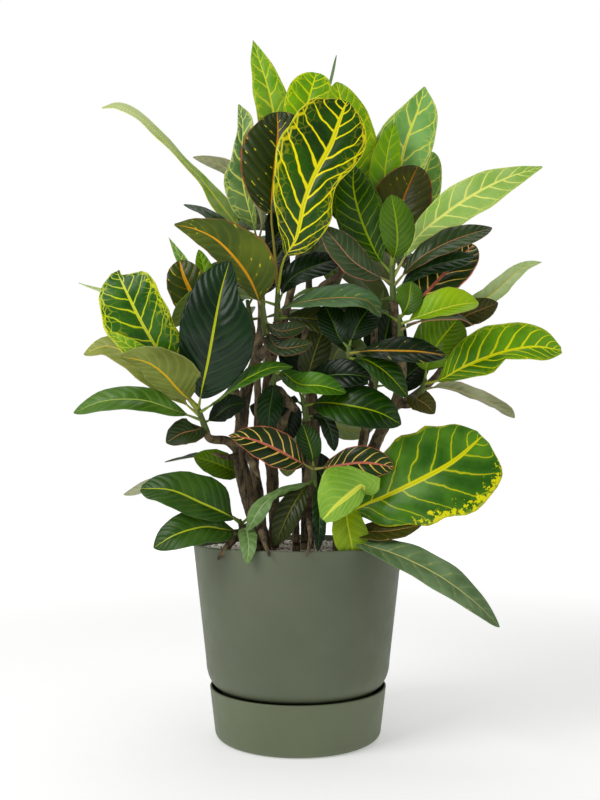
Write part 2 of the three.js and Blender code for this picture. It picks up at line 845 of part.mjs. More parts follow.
    colour: "#28521f",
    fill: 2,
    leaves: [
      { at: 0.8, rib: [[-44, 540, -74], [-30, 562, -72], [-16, 586, -70]], wide: 50, rows: 3, spare: true },
      { at: 0.5, rib: [[-84, 510, -64], [-96, 532, -60], [-104, 560, -56]], wide: 44, rows: 3, spare: true },
    ],
  },
  { name: "leaves_rear_upper_right", foot: [94, 499, -65], top: [101, 532, -75], colour: "#33601f", fill: 3, leaves: [] },
  {
    name: "leaves_rear_low",
    foot: [9, 374, -100],
    top: [11, 405, -112],
    colour: "#2a5a26",
    fill: 2,
    leaves: [
      { at: 0.5, rib: [[36, 374, -92], [62, 362, -86], [91, 366, -84]], wide: 30 },
      { at: 0.8, rib: [[4, 436, -100], [0, 462, -96], [-4, 492, -92]], wide: 56, rows: 3, spare: true },
      { at: 0.4, rib: [[-16, 380, -88], [-38, 384, -80], [-58, 392, -76]], wide: 40, rows: 3, spare: true },
    ],
  },
];

// Woody stems. Each stands in the soil at its foot (x, y), follows its route up and ends under a
// shoot. Its branches start inside it.
const STEMS = [
  {
    name: "stem_left",
    foot: [-42, -24],
    route: [[-49, 250, 24], [-58, 279, 22], [-65, 305, 20], [-70, 335, 20], [-67, 375, 22], [-62, 411, 26], [-50, 447, 40]],
    girth: [12, 5],
    to: "leaves_crown_left",
    branches: [
      { route: [[-70, 337, 20], [-84, 350, 26], [-101, 352, 40]], girth: [6, 4.2], to: "leaves_left" },
      { route: [[-66, 390, 22], [-79, 417, 4], [-94, 438, -14]], girth: [5, 4.2], to: "leaves_side_left" },
      { route: [[-56, 430, 32], [-45, 480, 10], [-44, 520, -12]], girth: [5.5, 4.2], to: "leaves_upper_left" },
      { route: [[-58, 279, 22], [-62, 288, 2]], girth: [4.6, 4.2], to: "leaves_low_back_left" },
    ],
  },
  {
    name: "stem_middle",
    foot: [-31, 4],
    route: [[-27, 250, -4], [-30, 285, -1], [-31, 315, 2], [-36, 351, 4], [-38, 399, 10], [-34, 441, 24], [-29, 471, 42]],
    girth: [9, 5],
    to: "leaves_crown_front",
    branches: [
      { route: [[-35, 438, 22], [-20, 482, 2], [-6, 540, -14], [3, 580, -21]], girth: [5.5, 4.2], to: "leaves_top" },
      { route: [[-38, 392, 9], [-36, 400, 28]], girth: [5, 4.2], to: "leaves_middle_left" },
    ],
  },
  {
    name: "stem_pale",
    foot: [-2, -46],
    route: [[-3, 255, 46], [-1, 272, 48], [12, 284, 55]],
    girth: [4.6, 4.2],
    to: "leaves_centre_low",
    branches: [],
  },
  {
    name: "stem_dark",
    foot: [11, -12],
    route: [
      [11, 261, 12], [12, 291, 12], [17, 327, 12], [20, 363, 14], [17, 405, 14], [8, 447, 12], [13, 495, 8],
      [26, 531, 4],
    ],
    girth: [8.5, 4.6],
    to: "leaves_upper_middle",
    branches: [
      { route: [[19, 345, 13], [17, 357, 32]], girth: [5, 4.2], to: "leaves_centre" },
      { route: [[16, 410, 14], [33, 418, 40], [52, 421, 66]], girth: [5, 4.2], to: "leaves_centre_right" },
    ],
  },
  {
    name: "stem_right",
    foot: [56, -8],
    route: [
      [62, 255, 8], [74, 297, 8], [86, 330, 10], [96, 354, 12], [108, 378, 16], [120, 405, 22], [122, 441, 32],
      [119, 480, 48],
    ],
    girth: [10, 4.8],
    to: "leaves_crown_right",
    branches: [
      { route: [[116, 397, 20], [130, 394, 24]], girth: [5.4, 4.2], to: "leaves_right" },
      { route: [[121, 415, 24], [126, 432, 50]], girth: [5, 4.2], to: "leaves_side_right" },
      { route: [[112, 388, 18], [140, 405, -6], [168, 430, -26]], girth: [5, 4.2], to: "leaves_back_right" },
    ],
  },
  { name: "stem_low_right", foot: [44, -52], route: [], girth: [4.8, 4.2], to: "leaves_low_right", branches: [] },
  { name: "stem_low_left", foot: [-60, -60], route: [], girth: [4.8, 4.2], to: "leaves_low_left", branches: [] },
  {
    name: "stem_rear_left",
    foot: [-45, 45],
    route: [[-48, 290, -50], [-60, 350, -62]],
    girth: [8, 4.6],
    to: "leaves_rear_left",
    branches: [{ route: [[-52, 318, -56], [-48, 400, -62]], girth: [5.5, 4.2], to: "leaves_rear_upper_left" }],
  },
  {
    name: "stem_rear",
    foot: [12, 58],
    route: [[10, 290, -66], [9, 335, -88]],
    girth: [8.5, 4.6],
    to: "leaves_rear_low",
    branches: [{ route: [[10, 302, -70], [14, 400, -64], [14, 490, -68]], girth: [5.8, 4.2], to: "leaves_rear_top" }],
  },
  {
    name: "stem_rear_right",
    foot: [62, 46],
    route: [[66, 290, -54], [78, 345, -66]],
    girth: [8, 4.6],
    to: "leaves_rear_right",
    branches: [{ route: [[70, 312, -58], [88, 410, -56]], girth: [5.5, 4.2], to: "leaves_rear_upper_right" }],
  },
];

// Leaves that a rule makes, round a shoot by the golden angle, on its side away from the viewer
const RULE_LEAF = { turn: 137.5, low: -10, high: 55, longest: 150, shortest: 100, slimness: 0.31, tries: 6 };
const OPEN_SIDE = { beyond: 105, below: 480 };

function ruleLeaf(shoot, index, k) {
  const key = index * 31 + k;
  const heading = THREE.MathUtils.degToRad(index * 67 + k * RULE_LEAF.turn);
  const away = new THREE.Vector3(Math.cos(heading), Math.sin(heading), 0);
  if (away.y < (shoot.leaves.length > 1 ? 0.3 : -0.2)) return null;
  const rise = (k * 0.382) % 1;
  const tilt = THREE.MathUtils.lerp(RULE_LEAF.low, RULE_LEAF.high, rise) + 10 * (draw(key) - 0.5);
  const length = THREE.MathUtils.lerp(RULE_LEAF.longest, RULE_LEAF.shortest, rise) * (0.9 + 0.2 * draw(key + 7));
  const base = place(shoot.foot).lerp(place(shoot.top), 0.15 + 0.75 * rise);
  const points = [0.4, 0.74, 1].map((share, i) => {
    const angle = THREE.MathUtils.degToRad(tilt - 12 * i);
    const spot = away.clone().multiplyScalar(Math.cos(angle));
    spot.z = Math.sin(angle);
    return spot.multiplyScalar(length * share).add(base);
  });
  const tip = points[points.length - 1];
  if (Math.abs(tip.x) > OPEN_SIDE.beyond && tip.z < OPEN_SIDE.below) return null;
  return {
    ...PLAIN_LEAF,
    points: [base, ...points],
    wide: length * RULE_LEAF.slimness,
    form: ["oval", "broad", "lance"][Math.floor(draw(key + 3) * 3)],
    upper: new THREE.Vector3(-0.25 * away.x, -0.25 * away.y, 1),
    push: new THREE.Vector3(0, 0, 1),
    rows: 3,
    spare: true,
  };
}

function chosenLeaves(shoot) {
  const foot = place(shoot.foot);
  const top = place(shoot.top);
  return shoot.leaves.map((entry) => {
    const leaf = { ...PLAIN_LEAF, ...entry };
    const [right, up, near] = leaf.face;
    const points = [foot.clone().lerp(top, leaf.at), ...leaf.rib.map(place)];
    const eye = new THREE.Vector3(0, -EYE_DISTANCE, EYE_HEIGHT);
    return {
      ...leaf,
      points,
      upper: new THREE.Vector3(right, -near, up),
      push: eye.sub(points[points.length - 1]).normalize(),
    };
  });
}

// Half the blade's width at a share of its length, on its left (-1) or right (1) side
function halfWidth(leaf, share, side) {
  if (leaf.outline) {
    const next = leaf.outline.findIndex(([at]) => at >= share);
    const after = leaf.outline[Math.max(next, 1)];
    const before = leaf.outline[Math.max(next, 1) - 1];
    const mix = (share - before[0]) / (after[0] - before[0]);
    const column = side < 0 ? 1 : 2;
    return THREE.MathUtils.lerp(before[column], after[column], mix);
  }
  const [rise, fall] = FORMS[leaf.form];
  const peak = rise / (rise + fall);
  const tallest = peak ** rise * (1 - peak) ** fall;
  const half = (leaf.wide / 2) * ((share ** rise * (1 - share) ** fall) / tallest);
  return Math.max(half, share < peak ? STALK_HALF_WIDTH : TIP_HALF_WIDTH);
}

// A leaf that leans by a push along its line of sight and a roll about its rib. Spare thickens it
// all round, and from leaves out what is nearer to its shoot.
function leafSolid(leaf, push, roll, spare = 0, from = 0) {
  const last = leaf.points.length - 1;
  const points = leaf.points.map((point, i) => point.clone().addScaledVector(leaf.push, (push * i) / last));
  const curve = new THREE.CatmullRomCurve3(points, false, "catmullrom", 0.5);
  const stalk = leaf.stalk ?? STALK_SHARE;
  const shares = [0];
  for (let i = 0; i <= leaf.rows; i++) {
    shares.push(stalk + (1 - stalk) * (0.5 - 0.5 * Math.cos((Math.PI * i) / leaf.rows)));
  }
  const rows = shares.filter((share) => share >= from);
  const spots = [];
  for (const share of rows) {
    const centre = curve.getPointAt(share);
    const ahead = curve.getTangentAt(share);
    const blade = Math.max((share - stalk) / (1 - stalk), 0);
    const upper = leaf.upper.clone().addScaledVector(ahead, -leaf.upper.dot(ahead)).normalize();
    upper.applyAxisAngle(ahead, THREE.MathUtils.degToRad(roll + leaf.turn * blade));
    const side = ahead.clone().cross(upper);
    const fold = THREE.MathUtils.degToRad(blade > 0 ? leaf.fold * (1 - 0.4 * blade) : 0);
    for (const face of [1, -1]) {
      for (const hand of [-1, 0, 1]) {
        const half = blade > 0 ? halfWidth(leaf, blade, hand) : STALK_HALF_WIDTH;
        const swing = Math.sin(Math.PI * blade) * Math.sin(leaf.rows * 0.9 * blade + 1.3 * hand);
        const rise = Math.abs(hand) * (half * Math.sin(fold) + leaf.wave * swing);
        const edge = blade > 0 ? BLADE_THICKNESS : STALK_THICKNESS;
        const middle = THREE.MathUtils.lerp(STALK_THICKNESS, RIB_THICKNESS, blade);
        const thick = (hand === 0 ? middle : edge) / 2 + spare;
        const spot = centre.clone();
        spot.addScaledVector(side, hand * (half + spare) * Math.cos(fold) - hand * face * thick * Math.sin(fold));
        spot.addScaledVector(upper, rise + face * thick * Math.cos(hand === 0 ? 0 : fold));
        spots.push(spot);
      }
    }
  }
  return solidOf(slab(spots, rows.length));
}

// A closed sheet from rows of three upper and three lower points, split alike on both faces
function slab(spots, count) {
  const triangles = [];
  const quad = (a, b, c, d) => triangles.push(a, b, c, a, c, d);
  for (let near = 0; near < (count - 1) * 6; near += 6) {
    const far = near + 6;
    triangles.push(near, near + 1, far + 1, near, far + 1, far);
    triangles.push(near + 1, near + 2, far + 1, near + 2, far + 2, far + 1);
    triangles.push(near + 3, far + 4, near + 4, near + 3, far + 3, far + 4);
    triangles.push(near + 4, far + 4, near + 5, near + 5, far + 4, far + 5);
    quad(near, far, far + 3, near + 3);
    quad(near + 2, near + 5, far + 5, far + 2);
  }
  const end = (count - 1) * 6;
  quad(0, 3, 4, 1);
  quad(1, 4, 5, 2);
  quad(end, end + 1, end + 4, end + 3);
  quad(end + 1, end + 2, end + 5, end + 4);
  const geometry = new THREE.BufferGeometry().setFromPoints(spots);
  geometry.setIndex(triangles);
  return geometry;
}

// Leans that a leaf tries in turn until it is clear of what already stands
const PUSHES = [0, 4, -4, 8, -8, 12, -12, 17, -17, 23, -23, 30, -30];
const ROLLS = [0, 10, -10, 20, -20];
const LEANS = PUSHES.flatMap((push) => ROLLS.map((roll) => [push, roll]));

function meets(first, second) {
  return !first.intersect(second).isEmpty();
}

// Whole leaves keep clear of other shoots and wood, and blades of the blades of their own shoot
function isClear(leaf, lean, owner, standing) {
  const whole = leafSolid(leaf, ...lean, CLEARANCE);
  const blade = leafSolid(leaf, ...lean, CLEARANCE, OWN_BLADE_START);
  return !standing.some((other) =>
    other.owner === owner ? meets(blade, other.outer) : meets(whole, other.whole),
  );
}

function settle(leaf, owner, standing) {
  const lean = LEANS.find((candidate) => isClear(leaf, candidate, owner, standing));
  if (!lean && leaf.spare) return null;
  if (!lean) throw new Error(`no clear place for ${leaf.name ?? `the leaf to ${leaf.rib.at(-1)}`} of ${owner}`);
  const whole = leafSolid(leaf, ...lean);
  standing.push({ owner, whole, outer: leafSolid(leaf, ...lean, 0, OWN_BLADE_START) });
  return whole;
}

// Assembly
const croton = new THREE.Group();
croton.name = "potted_croton";

function addMesh(name, solid, colour, roughness) {
  if (solid.decompose().length !== 1) throw new Error(`${name} is not one body`);
  const material = new THREE.MeshStandardMaterial({ color: colour, roughness, metalness: 0 });
  const mesh = new THREE.Mesh(geometryOf(solid), material);
  mesh.name = name;
  croton.add(mesh);
}

function shootAxis(name) {
  const shoot = SHOOTS.find((entry) => entry.name === name);
  const foot = place(shoot.foot);
  const top = place(shoot.top);
  return { foot, top, ahead: top.clone().sub(foot).normalize() };
}

function woodRoute(points, to) {
  const { foot, ahead } = shootAxis(to);
  const end = foot.clone().addScaledVector(ahead, -GAP);
  const lead = Math.min(SHOOT_LEAD, points[points.length - 1].distanceTo(end) / 3);
  return [...points, end.clone().addScaledVector(ahead, -lead), end];
}

function makeStem(stem) {
  const [x, y] = stem.foot;
  const start = new THREE.Vector3(x, y, GRAVEL_TOP + 4);
  const lift = new THREE.Vector3(x, y, GRAVEL_TOP + 9);
  const rise = stem.route.length ? [start, lift] : [start];
  const points = woodRoute([...rise, ...stem.route.map(place)], stem.to);
  let wood = limb(points, stem.girth[0], stem.girth[1], STEM_SIDES, STEM_ROOT);
  for (const branch of stem.branches) {
    const way = woodRoute(branch.route.map(place), branch.to);
    wood = wood.add(limb(way, branch.girth[0], branch.girth[1], BRANCH_SIDES));
  }
  return wood;
}

let soil = makeSoil();
let gravel = makeGravel();
for (const stem of STEMS) {
  const [x, y] = stem.foot;
  const radius = stem.girth[0] + GAP;
  const low = GRAVEL_TOP + 4 - STEM_ROOT - HOLE_SPARE;
  const hole = upright(radius / Math.cos(Math.PI / HOLE_SIDES), low, POT_RIM_HEIGHT, x, y, HOLE_SIDES);
  soil = soil.subtract(hole);
  gravel = gravel.subtract(hole);
}
const pot = makePot();
addMesh("saucer", makeSaucer(), "#677056", 0.6);
addMesh("pot", pot, "#5f6850", 0.6);
addMesh("soil", soil, "#3b2e24", 0.95);
addMesh("gravel", gravel, "#cfc8bd", 0.9);

const standing = [
  { owner: "pot", whole: pot },
  { owner: "gravel", whole: gravel },
];
for (const stem of STEMS) {
  const wood = makeStem(stem);
  addMesh(stem.name, wood, "#4b3a2c", 0.85);
  standing.push({ owner: stem.name, whole: wood });
}
const grown = SHOOTS.map((shoot) => {
  const { foot, top } = shootAxis(shoot.name);
  const core = limb([foot, top], SHOOT_RADIUS, SHOOT_TIP_RADIUS, SHOOT_SIDES, 0, 60);
  standing.push({ owner: shoot.name, whole: core, outer: core });
  return { shoot, solids: [core] };
});
for (const { shoot, solids } of grown) {
  const settled = chosenLeaves(shoot).map((leaf) => settle(leaf, shoot.name, standing));
  solids.push(...settled.filter((solid) => solid !== null));
}
grown.forEach(({ shoot, solids }, index) => {
  const wanted = solids.length + shoot.fill;
  for (let k = 0; solids.length < wanted && k < shoot.fill * RULE_LEAF.tries; k++) {
    const leaf = ruleLeaf(shoot, index, k);
    const solid = leaf && settle(leaf, shoot.name, standing);
    if (solid) solids.push(solid);
  }
});
for (const plant of grown) {
  addMesh(plant.shoot.name, wasm.Manifold.union(plant.solids), plant.shoot.colour, 0.45);
}

export default croton;
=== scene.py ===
"""Potted croton: the finished look of a bushy house plant in a green pot and saucer.

Lengths in the tables are millimetres, the scene is in metres, and +Z is up. The front is seen from -Y.
"""
import math
import random
from types import SimpleNamespace

import bmesh
import bpy
import numpy as np
from bpy.props import FloatProperty, FloatVectorProperty, IntProperty, PointerProperty, StringProperty
from mathutils import Matrix, Vector, kdtree, noise


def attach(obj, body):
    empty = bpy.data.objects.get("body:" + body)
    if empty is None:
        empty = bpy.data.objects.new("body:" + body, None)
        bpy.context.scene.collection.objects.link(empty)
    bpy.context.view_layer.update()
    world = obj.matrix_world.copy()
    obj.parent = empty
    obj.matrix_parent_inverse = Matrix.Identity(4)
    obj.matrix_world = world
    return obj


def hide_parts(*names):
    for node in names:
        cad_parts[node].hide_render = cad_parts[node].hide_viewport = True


bl_info = {
    "name": "Potted croton",
    "version": (1, 0, 0),
    "blender": (4, 5, 0),
    "location": "View3D > Sidebar > Croton",
    "description": "Builds a potted croton with veined leaves, bark stems, gravel, a pot and a saucer",
    "category": "Object",
}

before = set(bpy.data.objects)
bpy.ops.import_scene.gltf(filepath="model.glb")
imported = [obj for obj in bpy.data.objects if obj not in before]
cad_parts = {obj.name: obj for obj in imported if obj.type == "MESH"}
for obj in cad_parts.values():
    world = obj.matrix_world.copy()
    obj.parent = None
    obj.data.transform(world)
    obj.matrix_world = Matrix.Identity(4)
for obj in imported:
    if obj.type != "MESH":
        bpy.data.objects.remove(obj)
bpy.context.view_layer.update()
MM = 0.001

# The front view that the places of leaves and stems are read in: across and up are millimetres in the
# upright plane through the pot's axis, as seen from this eye, and forward is nearness to the eye
EYE_DISTANCE = 1044
EYE_HEIGHT = 314

# Saucer and pot
SAUCER_HEIGHT = 60.5
SAUCER_RIM_RADIUS = 105
SAUCER_BASE_RADIUS = 99
SAUCER_CORNER = 8
SAUCER_WALL = 2.8
SAUCER_FLOOR = 4
POT_RIM_HEIGHT = 229
POT_RIM_RADIUS = 124.5
POT_SHOULDER_HEIGHT = 90
POT_SHOULDER_RADIUS = 109.3
POT_NECK_HEIGHT = 59
POT_NECK_RADIUS = 91
POT_BASE_HEIGHT = 9
POT_BASE_RADIUS = 88
POT_WALL = 3.5
FOOT = {"radius": 62, "length": 34, "width": 14, "count": 4, "sunk": 0.5}
GAP = 0.3
SHOULDER_STEPS = 14
LIP_STEPS = 12
CORNER_STEPS = 10

# The saucer's inner corner, as shares of the outer corner's radius inwards and upwards
INNER_CORNER = ((0.25, 0.3), (0.7, 0))

# Gravel: the bed, and the stones that are set in it
SOIL_TOP = 209
GRAVEL_TOP = 222
BED = {"depth": 2.2, "steps": 96, "colour": "#ccc4b6"}
STONE = {
    "spacing": 3.6, "seed": 7, "jitter": (0.1, 0.9), "sizes": (0.42, 0.78), "sunk": 1.6,
    "heights": (-0.6, 1.2), "most_turn": 6.3, "lumps": (0.8, 1.12), "flatness": 0.75,
}
STONE_COLOURS = ("#f4efe4", "#fbf8f2", "#ece9e2", "#c8d2d8", "#d8c8ac", "#94765a", "#604838", "#f2ecdc")

# Stems and the leafless part of the shoots
STEM = {"start": 4, "root": 62, "upright": 5, "seed_step": 5, "sides": 22, "branch_sides": 16}
LIMB = {
    "fewest_rings": 8, "ring_length": 3.2, "slimmer": 0.99, "swell": 0.07, "swell_length": 14, "scar": 0.05,
    "scar_length": 2.1, "scar_power": 6, "lumps": 1.3, "lump_height": 16, "lump": 0.1, "knobs": 4,
    "knob": 0.03,
}
SCAR_SPACING = 9
SHOOT_LEAD = 12
LEAD_PART = 3
SHOOT = {"radii": (4.2, 2.4), "rings": 6, "sides": 12, "colour": "#5a6a34"}
PLAIN_TUBE = {"layers": {"blade": 0.45, "light": 0.5, "vein": 0.2, "edge": 0.5}, "spot": (0.5, 0.8)}

# Leaves: their sections, their outlines as a rise and a fall, what a leaf of the table leaves unsaid, how
# far apart the shoots' random keys are, and how much fuller a drawn outline is at its base
BLADE_THICKNESS = 0.8
RIB_THICKNESS = 1.7
STALK_THICKNESS = 2.6
STALK_HALF_WIDTH = 1.6
LEAST_HALF_WIDTH = 0.4
FORMS = {
    "broad": (0.62, 0.55), "oval": (0.78, 0.72), "lance": (0.9, 1.0), "long": (0.6, 0.85),
    "spoon": (1.1, 0.45),
}
PLAIN_LEAF = {
    "at": 0.8, "form": "oval", "face": (0, 0.4, 0.9), "fold": 10, "turn": 0, "wave": 1.5, "rows": 4,
    "outline": None, "wide": 30, "stalk": 0.14, "spare": False,
}
KEY_STEP = 17
BASE_SWELL = 1.4

# Leaves that a rule adds towards the rear: degrees, millimetres and shares
RULE_LEAF = {
    "key_step": 31, "tries": 6, "shoot_turn": 67, "turn": 137.5, "backward": 0.3, "forward": -0.2,
    "rise_step": 0.382, "low": -10, "high": 55, "sway": 10, "longest": 150, "shortest": 100, "least": 0.9,
    "spread": 0.2, "first": 0.15, "reach": 0.75, "shares": (0.4, 0.74, 1), "droop": 12, "lean": 0.25,
    "slimness": 0.31, "forms": ("oval", "broad", "lance"), "rows": 3,
}
RULE_KEYS = {"form": 3, "seed": 5, "length": 7, "look": 11}
OPEN_SIDE = {"beyond": 105, "below": 480}

# The leans, in millimetres and degrees, that a leaf may have in its solid, and how it is found there
PUSHES = (0, 4, -4, 8, -8, 12, -12, 17, -17, 23, -23, 30, -30)
ROLLS = (0, 10, -10, 20, -20)
NEAR_TIP = 12
SAME_SPOT = 0.03
ENOUGH_HITS = 3

# The fine blade: its columns from midrib to margin, its rows, its folds and its waves
COLUMNS = (0, 0.05, 0.14, 0.3, 0.48, 0.66, 0.83, 0.94, 1)
ROW_LENGTH = 6.5
FEWEST_ROWS = 14
MOST_ROWS = 34
BLADE = {
    "start": 0.04, "seed": 50, "unfold": 0.4, "swing": 0.9, "swing_shift": 1.3, "ripples": 21,
    "ripple_shift": 2, "ripple_power": 3, "scallops": 26, "scallop_seed": 1.7, "scallop_power": 4,
    "deepest_scallop": 0.3, "bulge": 0.07, "bulge_end": 1.1, "thickness": 0.42, "rib": 0.9,
    "rib_taper": 0.7, "rib_width": 1.3,
}
STALK = {"rings": 5, "overlap": 1.12, "radii": (2.1, 1.2), "end": 0.9, "sides": 8}
STALK_TINT = {"colour": "#6f8a3a", "blend": (0.35, 0.65)}

# Curves and meshes
ROUTE_STEPS = 200
A_LITTLE = 1e-4
TURNED_MERGE = 1e-6
TUBE_MERGE = 1e-7
SAME_DIGITS = 5
CROSS_HINT = (0.0, 1.0, 0.3)
DRAW_STEP = 12.9898
DRAW_SCALE = 43758.5453

# Noise patterns of the materials: their scale, detail and roughness, and the levels that they run between
GRAINS = {
    "plastic_cloud": {"scale": 9.0, "detail": 3.0, "levels": (0.35, 0.65)},
    "plastic_sheen": {"scale": 60.0, "levels": (0.3, 0.7)},
    "plastic_grain": {"scale": 1400.0},
    "soil_crumbs": {"scale": 220.0, "detail": 6.0, "roughness": 0.7, "levels": (0.35, 0.65)},
    "stone_speckle": {"scale": 900.0, "detail": 3.0, "levels": (0.4, 0.75)},
    "bark_unevenness": {"scale": 90.0},
    "bark_cracks": {"scale": 1.0, "detail": 6.0, "roughness": 0.65, "levels": (0.36, 0.62)},
    "bark_patches": {"scale": 55.0, "detail": 3.0, "levels": (0.5, 0.7)},
    "leaf_shake": {"scale": 45.0},
    "leaf_patch": {"scale": 80.0},
    "leaf_dash": {"scale": 110.0, "detail": 1.0, "levels": (0.6, 0.66)},
    "leaf_margin": {"scale": 110.0},
    "leaf_tone": {"scale": 24.0, "detail": 3.0, "levels": (0.3, 0.72)},
    "leaf_speck": {"scale": 620.0, "levels": (0.62, 0.72)},
    "leaf_blotch": {"scale": 190.0, "detail": 4.0, "roughness": 0.6},
    "leaf_gloss": {"scale": 40.0},
    "leaf_pores": {"scale": 380.0, "detail": 3.0},
}
PLASTIC = {"pale": 1.12, "roughness": (0.5, 0.58), "depth": 0.00008, "strength": 0.5}
SOIL = {"dark": "#1f1610", "pale": "#4a3828", "roughness": 0.95, "depth": 0.002}
STONE_SURFACE = {"speckle": 0.25, "speckle_colour": "#84725e", "roughness": 0.8, "depth": 0.0003}
BARK = {
    "stretch": (260, 260, 42), "unevenness": 2.4, "scar_levels": (0.36, 0.48), "dark": "#20180c",
    "wood": "#6a5a3e", "patches": 0.6, "pale": "#94825c", "scar": 0.14, "scar_colour": "#7c6a4a",
    "roughness": 0.85, "crack_height": 0.7, "scar_height": 0.15, "depth": 0.0016,
}

# The leaf material: pairs are two levels, two shares, or a factor and a start, and fours are two levels and
# the values at them
LEAF_LAYERS = ("blade", "light", "vein", "edge", "marks", "more")
MOST_VEINS = 20.0
VEIN = {
    "bend": 0.35, "other_side": 0.45, "shake": 0.55, "seed": 7.0, "width": (-0.14, 0.23),
    "width_by_chance": (0.4, 0.75), "width_by_patch": (0.9, 0.55), "fade_start": (0.45, 0.5),
    "fade_end": (0.25, 1.05),
}
LOOP = {
    "bow": (-0.09, 0.93), "shake": 0.12, "widths": (0.012, 0.035), "fade_in": (0.25, 0.5), "strength": 0.8,
}
RIB = {"taper": (-0.65, 1.25), "sides": (0.75, 1.25), "groove_width": 0.4, "groove": 0.28}
NET = {
    "full": 4.0, "sway_scale": 60.0, "sway": 0.009, "scale": 105.0, "line": 0.02, "widening": 0.14,
    "fade_in": (0.4, 0.85, 0.05, 1.0),
}
SPOTS = {
    "side": (0.45, 1.0), "fade_in": (0.2, 0.5), "fade_out": (0.75, 0.95, 1.0, 0.35), "gather": 0.3,
    "limit": (-0.3, 0.93), "softness": 0.05, "full": 12.0,
}
DASH = {"near": (0.8, 0.9), "colour": "#d8c61e"}
MARGIN = {"ragged": 0.12, "levels": (0.99, 1.05), "strong": (0.8, 1.0)}
TIP = {"shake": 0.4, "levels": (0.25, 0.7)}
HALO = {"near": (0.3, 1.0, 0.0, 0.45), "out": (-0.7, 1.0)}
SPECK = 0.22
LEAF_SURFACE = {"gloss_start": 0.06, "gloss": 0.2, "specular": 0.24}
QUILT = {
    "near": (0.1, 1.0, 1.0, 0.0), "out": (0.03, 0.3), "vein_width": (0.0, 0.5), "pores": 0.12, "net": -0.06,
    "depth": 0.0006, "strength": 0.75,
}

# Leaf colours: how much they are deepened, how far leaves differ, and what changes on the underside, where
# a pair holds the shares of a colour and of the one it is blended with
DEEPEN = 1.12
LEAF_FADE = {"least": 0.88, "spread": 0.24}
UNDERSIDE = {
    "colour": "#66723a", "dullness": 0.14, "blade": (0.45, 0.55), "light": (0.4, 0.7), "vein": (0.5, 0.5),
    "rib": 1.1, "veins": 0.5, "net": 0.4,
}

# Stage: places and sizes in metres
FLOOR = {"size": 6, "roughness": 0.9, "fade": (0.6, 2.6)}
LIGHTS = {
    "key": {"spot": (-1.6, -1.25, 1.8), "size": 1.3},
    "fill": {"spot": (1.6, -1.2, 1.1), "size": 1.6},
    "top": {"spot": (0.1, 0.5, 2.2), "size": 1.4},
}
LIGHT_AIM = (0, 0, 0.42)
SENSOR = 36


def look(blade, light, vein, edge, rib=0.05, veins=0.2, net=0.0, spots=0.0, width=0.6, margin=0.2, count=14,
         gloss=0.3, tip=0.0, dashes=0.0, crinkle=0.6, both=False):
    """A leaf's colours, the midrib's width, how clear the side veins, the fine net and the spots are, the
    veins' width, how clear the margin is, the veins' number, the gloss, how far the lighter colour gains
    towards the tip, how clear the dashes on the veins are, the crinkle, and whether both faces are alike."""
    return {
        "blade": blade, "light": light, "vein": vein, "edge": edge, "rib": rib, "veins": veins, "net": net,
        "spots": spots, "width": width, "margin": margin, "count": count, "gloss": gloss, "tip": tip,
        "dashes": dashes, "crinkle": crinkle, "both": both,
    }


